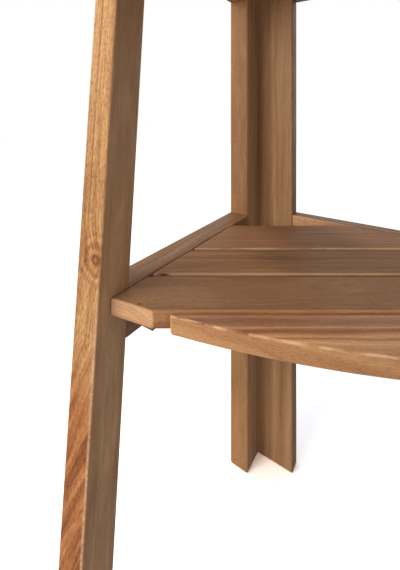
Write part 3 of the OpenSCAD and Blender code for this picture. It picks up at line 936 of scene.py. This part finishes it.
for side_name in SIDES:
    leg = add_leg(side_name)
    print(leg.name, len(leg.data.polygons), "faces")

# %% [markdown]
# ## Posts
# The two rear posts meet in a mitre. One L-shaped surface would be quicker, but the real corner is two
# boards with a seam, so each post has a five-sided section of its own. Its corner at the seam is barely
# eased: together the two eased corners make the fine groove that shows as a dark line.

# %% Posts
POST_ARRIS, SEAM_EASE, NOSE_EASE = 0.0025, 0.0009, 0.0006
# Painted light and shade of each post: colours at the seam, at the front arris and on the front face.
POST_PAINTED_LIGHT_AND_SHADE = {
    "left": [(0.92, 1.06, 1.28), (0.92, 1.06, 1.28), (0.90, 0.87, 0.87)],
    "right": [(0.92, 0.98, 1.10), (1.10, 1.20, 1.42), (0.60, 0.51, 0.38)],
}


def post_painted_light_and_shade(side_name):
    """Colours of a post's inner face at the seam and at its front arris, and of its front face. They are
    painted light and shade: cooler and greyer inner faces, lighter towards the front arris, and a dark
    front face on the right post, which turns from the lamp. Both are paler near the floor, as painted
    light from the floor."""
    seam, front, face = POST_PAINTED_LIGHT_AND_SHADE[side_name]

    def tint(t, p, q):
        ahead = rise(p, POST_W - 0.002, 0.0015)
        # Painted light from the floor: paler near the foot.
        low = 1 + 0.25 * rise(t, 0.16, -0.10) * (ahead if side_name == "left" else 0.6)
        return blend(ahead, face, blend(rise(p, 0, POST_W), front, seam)) * low[:, None]

    return tint


def add_post(side_name):
    """An upright: p runs along the side from the inner rear corner, q outwards from the inner face. The
    mitre goes from the inner corner to a small flat nose at the back."""
    forward, outward, up = side_axes(side_name)
    nose = FRAME_EASE / ROOT_2
    corners = [
        (-FRAME_T + nose, FRAME_T - nose), (0, 0), (POST_W, 0), (POST_W, FRAME_T),
        (-FRAME_T + 2 * nose, FRAME_T),
    ]
    radii = [NOSE_EASE, SEAM_EASE, POST_ARRIS, POST_ARRIS, NOSE_EASE]
    slant, inner = shouldered(FRAME_T * ROOT_2, 0.001), shouldered(POST_W, 0.002)
    back = np.linspace(0.03, 0.97, len(slant) + len(inner) + ARC_POINTS)
    cuts = [slant, inner, [0.5], back, [0.5]]
    outline = section(corners, radii, cuts, right=2, wear=[0, 0, 0.5, 0.5, 0])
    axes, steps = (REAR_CORNER, forward, outward, up), np.linspace(0.002, 0.998, 120)
    made = carry(outline, axes, flat(0), flat(FRAME_H), steps, POST_ARRIS)
    log, tint = any_log(0.02, 0.05), post_painted_light_and_shade(side_name)
    return add_timber(f"{side_name}_post", WOODS["post_wood"], made, log, tint)


for side_name in SIDES:
    post = add_post(side_name)
    print(post.name, len(post.data.polygons), "faces")

# %% [markdown]
# ## Rails
# A rail joins a post to a leg, flush with both, and dowels that nobody sees hold it there. Its front
# end is sawn to the leg's lean. It could run on into the leg, but two faces at one place flicker. So it
# stops a fifth of a millimetre short at both ends, which shows as the fine dark line of a real joint.

# %% Rails
# The second tint is painted shade on the rails' inner faces below the slats.
RAIL_TINT, SHADED_TINT = (0.9, 0.9, 0.93), (0.60, 0.66, 0.82)
# Right rail: painted light behind the rear slat, and painted shade on its top.
PAINTED_LIGHT_GAIN, TOP_PAINTED_SHADE_LOSS = np.array([0.85, 1.0, 1.4]), np.array([0.25, 0.25, 0.35])
JOINT_GAP, RAIL_END_EASE = 0.0002, 0.0005


def rail_painted_light_and_shade(side_name):
    """A rail's inner face carries painted shade below the slats. Behind the rear slat the right rail's
    inner face is painted paler, as painted light, and its top is painted darker, as painted shade."""

    def tint(t, p, q):
        # Painted shade on the inner face below the slats.
        inner = rise(q, -0.010, -0.0015)
        colour = blend(inner * rise(p, -0.005, -0.002), SHADED_TINT, RAIL_TINT)
        if side_name == "right":
            # Painted light behind the rear slat, and painted shade on the right rail's top.
            pale = (inner * rise(t, 0.125, -0.01) * rise(p, -0.005, 0.002))[:, None]
            above = rise(p, 0.021, 0.001)[:, None] * (1 - pale)
            colour = colour * (1 + pale * PAINTED_LIGHT_GAIN - above * TOP_PAINTED_SHADE_LOSS)
        return colour

    return tint


def add_rail(tier, side_name):
    """A bar along the side: p is height about the rail's middle, q is outwards. It ends on the leg's
    back face, which lies at leg_back(z)."""
    forward, outward, up = side_axes(side_name)
    middle = SHELF_Z[tier] - RAIL_H / 2
    axes = (REAR_CORNER + FRAME_T / 2 * outward + middle * up, up, outward, forward)

    def on_leg(p, q):
        return leg_back(middle + p) - JOINT_GAP

    outline, steps = box_section(RAIL_H, FRAME_T, FRAME_EASE), np.linspace(0.008, 0.992, 50)
    made = carry(outline, axes, flat(POST_W + JOINT_GAP), on_leg, steps, RAIL_END_EASE, end_wear=0.0)
    node, tint = f"{tier}_{side_name}_rail", rail_painted_light_and_shade(side_name)
    return add_timber(node, WOODS["frame_wood"], made, any_log(), tint)


print("the low rails are", round((leg_back(SHELF_Z["low"]) - POST_W) * 1000, 1), "mm long at the top")

# %% [markdown]
# ## Cleats and battens
# A cleat runs along the rail's inner face and carries the ends of the slats. Two battens tie the slats
# together below. One mesh of each could be used three times, but a shelf is smaller than the one below
# it, and copies would show the same grain. So each rail, cleat and batten is carried at its own length,
# from its own log.

# %% Cleats and battens
# The cleats' tint is painted shade: under the shelf they are painted half as bright and cooler.
CLEAT_PAINTED_SHADE, SUPPORT_END_EASE = (0.50, 0.50, 0.56), 0.0006


def add_cleat(tier, side_name):
    """A square-ended bar on the rail's inner face: p is outwards, from the shelf side, q is height."""
    forward, outward, up = side_axes(side_name)
    origin = REAR_CORNER - CLEAT_W / 2 * outward + (SHELF_Z[tier] - SLAT_T - CLEAT_H / 2) * up
    made = carry(
        box_section(CLEAT_W, CLEAT_H, CLEAT_EASE), (origin, outward, up, forward), flat(POST_W),
        flat(leg_back(SHELF_Z[tier])), np.linspace(0.008, 0.992, 40), SUPPORT_END_EASE, end_wear=0.0,
    )
    node = f"{tier}_{side_name}_cleat"
    return add_timber(node, WOODS["support_wood"], made, any_log(), CLEAT_PAINTED_SHADE)


def add_batten(tier, side_name):
    """A square-ended bar that runs forwards under the slats: p is across it, q is height."""
    origin = REAR_CORNER + [SIDES[side_name] * BATTEN_X, 0, SHELF_Z[tier] - SLAT_T - CLEAT_H / 2]
    front = float(curve_u(tier, BATTEN_X + BATTEN_W / 2)) - BATTEN_SETBACK
    made = carry(
        box_section(BATTEN_W, CLEAT_H, CLEAT_EASE), (origin, (1, 0, 0), (0, 0, 1), (0, -1, 0)),
        flat(BATTEN_REAR), flat(front), np.linspace(0.01, 0.99, 30), SUPPORT_END_EASE,
    )
    node = f"{tier}_{side_name}_batten"
    return add_timber(node, WOODS["support_wood"], made, any_log())


for tier in SHELF_Z:
    for side_name in SIDES:
        made_pieces = [add(tier, side_name).name for add in (add_rail, add_cleat, add_batten)]
        print(", ".join(made_pieces))

# %% [markdown]
# ## Shades on the slats
# A shelf has four slats with narrow gaps, set out backwards from its curved front. They came from the
# same plank and differ little, but the rear ones lie in the posts' shade, and the third one's front face
# looks towards the light. Lamps alone could make such shades, but they would shift with every lamp. So
# they are painted as tints at the points: painted shade in the middle of the rear slats, and painted
# light on the third slat's front face.

# %% Shades on the slats
SLAT_TINTS = {
    "rear": (1.12, 1.14, 1.18), "second": (1.07, 1.08, 1.08), "third": (0.98, 1.02, 1.05),
    "front": (1.0, 1.0, 0.95),
}
# Painted light on the third slat's front face: its upper band and its lower part.
THIRD_FACE_PAINTED_LIGHT_HIGH, THIRD_FACE_PAINTED_LIGHT_LOW = (1.46, 1.43, 1.34), (1.20, 1.10, 1.16)
SHADE_HALF, SHADE_FADE = {"rear": 0.018, "second": 0.065}, 0.055


def slat_edges(tier):
    """(rear, front) edge of each slat, as distances in front of the rear corner, set out backwards from
    the top of the shelf's curve."""
    apex = float(curve_u(tier, 0))
    edges = {"front": (apex - FRONT_SLAT_W, apex)}
    front = apex - FRONT_SLAT_W - SLAT_GAP
    for name in ("third", "second", "rear"):
        edges[name] = (front - SLAT_W, front)
        front -= SLAT_W + SLAT_GAP
    edges["rear"] = (REAR_GAP[tier], edges["rear"][1])
    return edges


def shaded_tint(name):
    """The rear slats are darker in the middle, where the posts shade them: a smooth step in |t|."""

    def tint(t, p, q):
        step = rise(np.abs(t), SHADE_HALF[name], SHADE_FADE)
        return np.outer(0.8 + 0.35 * step**2 * (3 - 2 * step), SLAT_TINTS[name])

    return tint


def third_tint_and_painted_light(tier):
    """The third slat's front face looks towards the lamp and is painted light: a paler, warmer band along
    its upper third, and redder below.
    """
    half = curve_x(tier, slat_edges(tier)["third"][1])

    def tint(t, p, q):
        ahead = rise(p, SLAT_W / 2 - 0.002, 0.001) * rise(np.abs(t), half, -0.001)
        face = blend(rise(q, 0.0005, 0.003), THIRD_FACE_PAINTED_LIGHT_HIGH, THIRD_FACE_PAINTED_LIGHT_LOW)
        return blend(ahead, face, SLAT_TINTS["third"])

    return tint


print("low shelf:", {name: [round(v, 4) for v in edges] for name, edges in slat_edges("low").items()})

# %% [markdown]
# ## The slats' woods
# The low shelf is the one in the photograph, so its slats' logs are chosen: the third slat's sawn
# corner shows rings, the second slat has a small split, and the front slat's top has bold red stripes.
# Chance could be left to find such boards, as for the other slats, but would take hundreds of tries.

# %% The slats' woods
SLAT_LOGS = {
    "second": (0.05, (0.06, 0.01), 0.0), "third": (0.0, (0.01, 0.08), 0.0),
    "front": (0.0, (0.035, 0.061), 0.0),
}
SPLIT = (spot_in_log((-0.2085, 0.0280, 0.0066), SLAT_LOGS["second"]), (0.60, 0.10, 0.14))
SPECK = (spot_in_log((-0.2415, 0.0190, 0.0075), SLAT_LOGS["third"]), (0.13, 0.10, 0.15))
WHOLE_LENGTH = -60
FLAMES = [
    (across, half, WHOLE_LENGTH, stain)
    for across, half, stain in (
        (1.17, 0.06, (1.35, 1.32, 1.30)),
        (1.70, 0.72, (0.66, 0.60, 0.62)),
        (2.42, 0.11, (1.50, 1.54, 1.56)),
        (2.86, 0.24, (0.68, 0.55, 0.51)),
        (3.43, 0.20, (1.42, 1.46, 1.46)),
        (3.70, 0.06, (0.70, 0.60, 0.56)),
        (4.08, 0.30, (1.38, 1.42, 1.42)),
    )
]
SLAT_WOODS = {
    "rear": WOODS["slat_wood"],
    "second": oiled_wood(
        "oiled_second_slat_wood", dashes=0.3, marks=[SPLIT], wear_highlight_gain=0.6, wear_highlight_least=0.85, **SLAT_LOOK
    ),
    "third": oiled_wood(
        "oiled_third_slat_wood", dashes=0.35, marks=[SPECK], wear_highlight_gain=0.15, sawn_gain=1.0, **SLAT_LOOK
    ),
    "front": oiled_wood(
        "oiled_front_slat_wood", RUSSET, figure=0.35, dashes=0.4, face=(2, 6.62, 6.80), flames=FLAMES,
        wear_highlight_gain=0.95, wear_highlight_least=0.0, wear_grain=0.7,
    ),
}


def slat_finish(tier, name):
    """(wood, log, tint) of a slat: those of the low shelf are given, and the others are chance."""
    log = SLAT_LOGS.get(name) if tier == "low" else None
    wood = SLAT_WOODS[name] if tier == "low" or name == "front" else WOODS["slat_wood"]
    tint = {"third": third_tint_and_painted_light(tier), "front": SLAT_TINTS["front"]}.get(name, shaded_tint(name))
    return wood, log or any_log(), tint


print("slat woods:", ", ".join(wood.name for wood in SLAT_WOODS.values()))

# %% [markdown]
# ## Straight slats
# A straight slat is sawn at 45 degrees at both ends, a little short of the rails. The third slat's
# front corners are sawn off once more, from the leg to the shelf's curve. A Boolean could cut them, but
# would lose the eased arris of the cut. The ends are functions of the place in the section, so the
# nearer of the two cuts is simply the smaller number.

# %% Straight slats
SLAT_ARRIS, SLAT_END_GAP = 0.0022, 0.0010
SLAT_DIRECTIONS = (0, -1, 0), (0, 0, 1), (1, 0, 0)


def add_slat(tier, name, middle, outline, reach, steps, ease, **ways):
    """Carries a slat's section across the shelf, with its middle that far in front of the rear corner."""
    axes = (REAR_CORNER + [0, -middle, SHELF_Z[tier] - SLAT_T / 2], *SLAT_DIRECTIONS)
    made = carry(outline, axes, lambda p, q: -reach(p, q), reach, steps, ease, **ways)
    wood, log, tint = slat_finish(tier, name)
    return add_timber(f"{tier}_{name}_slat", wood, made, log, tint)


def add_straight_slat(tier, name):
    """A board across the shelf: p is depth about its middle, q is height. Its end lies at
    |x| = u - trim, or on the straight cut from the shelf's corner to the curve where that is shorter."""
    rear, front = slat_edges(tier)[name]
    middle, width = (rear + front) / 2, front - rear
    trim = SLAT_END_GAP * ROOT_2
    corner, _ = shelf_curve(tier)
    cut_x = curve_x(tier, front)
    sawn_off = cut_x < front - trim
    slope = (corner - cut_x) / (front - corner) if sawn_off else 0.0

    def reach(p, q):
        u = middle + p
        return np.minimum(u - trim, corner - slope * (u - corner)) if sawn_off else u - trim

    bend = [corner + trim / (1 + slope) - middle] if sawn_off else []
    firm = [1, 0.3, 1, 1] if sawn_off else None
    outline = box_section(width, SLAT_T, SLAT_ARRIS, bend, wear=[0.1, 0.3, 1.0, 0.1], firm=firm)
    steps = np.linspace(0.004, 0.996, 70)
    return add_slat(tier, name, middle, outline, reach, steps, SLAT_ARRIS, end_wear=0.25)


print("the low shelf's corner lies", round(shelf_curve("low")[0], 4), "m in front of the rear corner")

# %% [markdown]
# ## The curved slat
# The front slat is cut from a straight board along the shelf's curve. Bending a finished slat with a
# modifier would bend its grain too. So only the outline's front points move: the grain runs straight
# while the front edge bends, and the bold stripes run out at it, as on the real board.

# %% The curved slat
ARC_ARRIS, TIP_EASE, TIP_ROUND, LEAST_DEPTH, HELD_EDGE = 0.0019, 0.0004, 0.002, 0.0048, 0.0022


def add_front_slat(tier):
    """The curved slat: a section of a nominal depth is carried along x, and its front edge moves so that
    the depth at x is the curve's distance from the straight rear edge. Between the two rounded edges,
    which keep their shape, the points share the move in proportion to their place. Its tips are rounded
    below over a quarter circle."""
    rear, front = slat_edges(tier)["front"]
    nominal, tip = front - rear, curve_x(tier, rear + FRONT_SLAT_TIP)

    def reach(p, q):
        dip = np.clip((-SLAT_T / 2 + TIP_ROUND - q) / TIP_ROUND, 0, 0.98)
        return tip - TIP_ROUND * (1 - np.sqrt(1 - dip**2)) + 0 * p

    def to_curve(p, q, t):
        depth = curve_u(tier, t) - rear
        share = rise(p + nominal / 2, HELD_EDGE, nominal - 2 * HELD_EDGE)
        p = p + share * (np.maximum(depth, LEAST_DEPTH) - nominal)
        return (p + nominal / 2) * np.minimum(1, depth / LEAST_DEPTH) - nominal / 2, q

    outline = box_section(nominal, SLAT_T, ARC_ARRIS, [0.0], wear=[0.1, 0.5, 1.0, 0.1], sharp=1.8)
    steps = 0.5 - 0.5 * np.cos(np.linspace(0.03, math.pi - 0.03, 140))
    return add_slat(tier, "front", rear + nominal / 2, outline, reach, steps, TIP_EASE, reshape=to_curve)


for tier in SHELF_Z:
    pieces = [add_straight_slat(tier, name) for name in ("rear", "second", "third")]
    pieces.append(add_front_slat(tier))
    print(tier, "shelf:", ", ".join(piece.name for piece in pieces))

# %% [markdown]
# ## A screw's surface
# A screw has a head with a cross recess, a countersunk cone, a shank and a point. A cone with a cross
# cut out of it by a Boolean would leave slivers of faces. So it is one closed surface of rings, whose
# points gather along the cross. A deep recess would need a hole in the timber's surface too: the head
# stands a hair proud instead, the recess is shallow, and a number at its points darkens it as painted
# shade for the depth it lacks.

# %% A screw's surface
SCREW_HEAD_R, SCREW_R, SCREW_HEAD_H, SCREW_POINT_L, SCREW_TIP_R = 0.004, 0.002, 0.0024, 0.004, 0.0004
RECESS_HALF, RECESS_END, RECESS_DEPTH, HEAD_PROUD = 0.00045, 0.0022, 0.00024, 0.0003


def screw_surface(length):
    """Vertices, faces and cross recess (1 in it, else 0) of a screw along +z into the wood.

    Rings of 32 points go from the middle of the head outwards and down to the point. In the head the
    ring's angles gather at asin(half width / radius) on both sides of each arm of the cross, so the
    recess has straight walls; further out they spread evenly. The head's face stands a hair proud of
    the wood, at z = -HEAD_PROUD, and its rim is a quarter round down to the wood.
    """
    in_recess = [0.0004, 0.0008, 0.0013, 0.0018, 0.0021]
    head_radii = [*in_recess, RECESS_END, 0.0027, 0.0034, 0.0037, 0.0039, SCREW_HEAD_R, 0.00395]
    head_height = np.array([0, 0, 0, 0, 0, 0, 0, 0, 0.00003, 0.0001, 0.00025, 0.0004]) - HEAD_PROUD
    radii = np.r_[head_radii, SCREW_R + 0.0002, SCREW_R, SCREW_R, SCREW_TIP_R]
    neck = [SCREW_HEAD_H - 0.0002, SCREW_HEAD_H + 0.0002]
    height = np.r_[head_height, neck, length - SCREW_POINT_L, length]
    arm = np.arcsin(np.clip(RECESS_HALF / radii, 0, 0.66))
    wall = np.arcsin(np.clip((RECESS_HALF + 0.0001) / radii, 0, 0.69))
    quarter = math.pi / 2
    third = (quarter / 2 - wall) / 2
    cross = [0 * arm, arm, wall, wall + third, wall + 2 * third]
    cross = np.stack([*cross, quarter - wall - third, quarter - wall, quarter - arm], axis=1)
    even = np.arange(8) * quarter / 8 + 0 * cross
    spreading = rise(radii, 0.0023, 0.0011)[:, None]
    angle = cross * (1 - spreading) + even * spreading
    angle = np.concatenate([angle + k * quarter for k in range(4)], axis=1)
    radii = radii[:, None]
    in_arm = np.tile([1.0, 1.0, 0, 0, 0, 0, 0, 1.0], 4)[None]
    in_arm = np.where(radii < 0.0007, 1.0, in_arm) * (radii < RECESS_END)
    depth = RECESS_DEPTH * in_arm * np.clip(1.25 - radii / RECESS_END * 0.6, 0, 1)
    points = np.stack([radii * np.cos(angle), radii * np.sin(angle), height[:, None] + depth], axis=-1)
    rings, n = angle.shape
    number = np.arange(rings * n).reshape(rings, n)
    ahead = np.roll(number, -1, axis=1)
    faces = np.stack([number[:-1], ahead[:-1], ahead[1:], number[1:]], axis=-1).reshape(-1, 4).tolist()
    points = np.concatenate([points.reshape(-1, 3), [[0, 0, RECESS_DEPTH - HEAD_PROUD], [0, 0, length]]])
    faces += [[rings * n, b, a] for a, b in zip(number[0], ahead[0])]
    faces += [[rings * n + 1, a, b] for a, b in zip(number[-1], ahead[-1])]
    return points, faces, np.r_[(in_arm * np.ones((1, n))).ravel(), 1, 0]


print("a screw has", len(screw_surface(0.035)[1]), "faces")

# %% [markdown]
# ## Screws in the slats
# The places could be typed from the CAD model, but a typed place says nothing about why a screw is
# there. So they follow from the pieces that the screws hold, as a joiner would set them out: one goes up
# through the middle of each bearing of a slat, and ends 4 mm below the shelf's top.

# %% Screws in the slats
SLAT_SCREW_COVER, LEAST_BEARING = 0.004, 0.010
SLAT_SCREW_L = CLEAT_H + SLAT_T - SLAT_SCREW_COVER


def bearing_middle(tier, name, rear_end, front_end):
    """Middle of the part of a slat that lies on a support between rear_end and front_end, or None where
    that part is too short for a screw."""
    rear, front = slat_edges(tier)[name]
    rear, front = max(rear, rear_end), min(front, front_end)
    return (rear + front) / 2 if front - rear > LEAST_BEARING else None


def slat_screw_places(tier):
    """A screw goes up through each bearing of a slat on a cleat and on a batten."""
    half = 1 / ROOT_2
    z = SHELF_Z[tier] - SLAT_T - CLEAT_H
    cleat_end = (leg_back(SHELF_Z[tier]) + CLEAT_W / 2) * half
    batten_end = float(curve_u(tier, BATTEN_X + BATTEN_W / 2)) - BATTEN_SETBACK
    places = []
    for name in ("rear", "second", "third", "front"):
        on_cleat = None if name == "front" else bearing_middle(tier, name, 0.0, cleat_end)
        on_batten = bearing_middle(tier, name, BATTEN_REAR, batten_end)
        for side in SIDES.values():
            if on_cleat is not None:
                places.append([side * (on_cleat - CLEAT_W * half), -on_cleat, z])
            if on_batten is not None:
                places.append([side * BATTEN_X, -on_batten, z])
    return [(REAR_CORNER + place, (0, 0, 1)) for place in places]


print("the low shelf's slats take", len(slat_screw_places("low")), "screws")

# %% [markdown]
# ## Screws in the cleats and the corner
# A cleat is screwed to its rail between the slats' screws, and the posts are screwed together from the
# left one, in pairs between the shelves. They could stand at even distances, but a joiner keeps them
# clear of the other screws and of the rails, so they too follow from those pieces.

# %% Screws in the cleats and the corner
CLEAT_SCREW_L, CORNER_SCREW_L, CORNER_SCREW_H = 0.035, 0.050, 0.090
SHELF_PITCH = SHELF_Z["mid"] - SHELF_Z["low"]


def cleat_screw_places():
    """A cleat's own screws go outwards: behind the rear slat's screw, and between the slats."""
    places = []
    for tier in SHELF_Z:
        edges = slat_edges(tier)
        level = SHELF_Z[tier] - SLAT_T - CLEAT_H / 2
        gaps = [edges[name][1] + SLAT_GAP / 2 for name in ("rear", "second")]
        spots = [gap * ROOT_2 - CLEAT_W / 2 for gap in gaps]
        spots.insert(0, (POST_W + sum(edges["rear"]) / 2 * ROOT_2 - CLEAT_W / 2) / 2)
        for side_name in SIDES:
            forward, outward, up = side_axes(side_name)
            base = REAR_CORNER - CLEAT_W * outward + level * up
            places += [(base + s * forward, outward) for s in spots]
    return places


def corner_screw_places():
    """The corner's screws enter the left post's outer face, two between each pair of shelves."""
    forward, outward, up = side_axes("left")
    base = REAR_CORNER - FRAME_T / 2 * forward + FRAME_T * outward
    middles = [z - SHELF_PITCH / 2 for z in SHELF_Z.values()]
    return [(base + (z + dz) * up, -outward) for z in middles for dz in (-CORNER_SCREW_H, CORNER_SCREW_H)]


SCREW_SETS = {
    "cleat_screws": (CLEAT_SCREW_L, cleat_screw_places()),
    "corner_screws": (CORNER_SCREW_L, corner_screw_places()),
    **{f"{tier}_slat_screws": (SLAT_SCREW_L, slat_screw_places(tier)) for tier in SHELF_Z},
}
print("screws:", sum(len(places) for _, places in SCREW_SETS.values()))

# %% [markdown]
# ## Steel and beech
# The screws are zinc plated steel, and the dowels inside the joints are plain beech. Neither has a
# figure to follow. One flat colour would be enough for such small parts, but looks like plastic from
# near, so fine noise over Object coordinates breaks up the colour and the gloss.

# %% Steel and beech
# Painted shade in the shallow cross recess: its colour is made this much darker.
RECESS_PAINTED_SHADE = 0.88


def plain_finish(name, colour, metallic, roughness, grain):
    """A finish with fine mottling: noise over Object coordinates varies the colour and the gloss. A
    screw's cross recess is shallow here and deep on a real screw, so the finish is painted darker in it:
    painted shade for the depth that the recess lacks."""
    material, tree = blank_material(name)
    mottle = stretched_noise(add_node(tree, "ShaderNodeTexCoord").outputs["Object"], grain, 3.0)
    shade = (attribute(tree, "recess") * -RECESS_PAINTED_SHADE + 1.0) * spread(mottle, 0.3, 0.7, 0.85, 1.1)
    roughness = spread(mottle, 0.3, 0.7, roughness - 0.08, roughness + 0.08)
    colour = scaled(tree, colour, shade)
    principled(tree, {"Base Color": colour, "Metallic": metallic, "Roughness": roughness})
    return material


ZINC = plain_finish("zinc_plated_steel", (0.62, 0.59, 0.50), 1.0, 0.38, (900, 900, 900))
BEECH = plain_finish("plain_beech", (0.70, 0.52, 0.32), 0.0, 0.6, (300, 300, 60))
print("finishes:", ZINC.name, BEECH.name)

# %% [markdown]
# ## Screws and dowels in the scene
# Sixty-two screws could be sixty-two objects that share a mesh. But the CAD model has one node for each
# set, so a set is one mesh, and each screw in it is the same surface, turned to its own direction and
# moved to its own place. The dowels come straight from the CAD model, because only a cut joint would
# show them.

# %% Screws and dowels in the scene
SCREW_CREASE = math.radians(40)


def add_screws(node, finish, length, places):
    """All screws of a CAD node: each surface is turned from +z to its own direction and moved."""
    shape, shape_faces, recess = screw_surface(length)
    points, faces = [], []
    for place, direction in places:
        direction = np.asarray(direction, float)
        across = np.array([1.0, 0, 0]) if abs(direction[2]) > 0.5 else np.array([0, 0, 1.0])
        other = np.cross(direction, across)
        base = len(points) * len(shape)
        points.append(place + shape[:, :1] * across + shape[:, 1:2] * other + shape[:, 2:] * direction)
        faces += [[base + i for i in face] for face in shape_faces]
    mesh = bpy.data.meshes.new(node)
    mesh.from_pydata(np.concatenate(points).tolist(), [], faces)
    mesh.polygons.foreach_set("use_smooth", np.ones(len(faces), bool))
    mesh.set_sharp_from_angle(angle=SCREW_CREASE)
    layer = mesh.attributes.new("recess", "FLOAT", "POINT")
    layer.data.foreach_set("value", np.tile(recess, len(places)).astype(np.float32))
    mesh.materials.append(finish)
    piece = put_in_scene(node + "_set", mesh)
    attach(piece, "root")
    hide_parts(node)
    return piece


for node, (length, places) in SCREW_SETS.items():
    add_screws(node, ZINC, length, places)
    print(node, len(places), "screws")
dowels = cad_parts["rail_dowels"].data
dowels.materials.clear()
dowels.materials.append(BEECH)
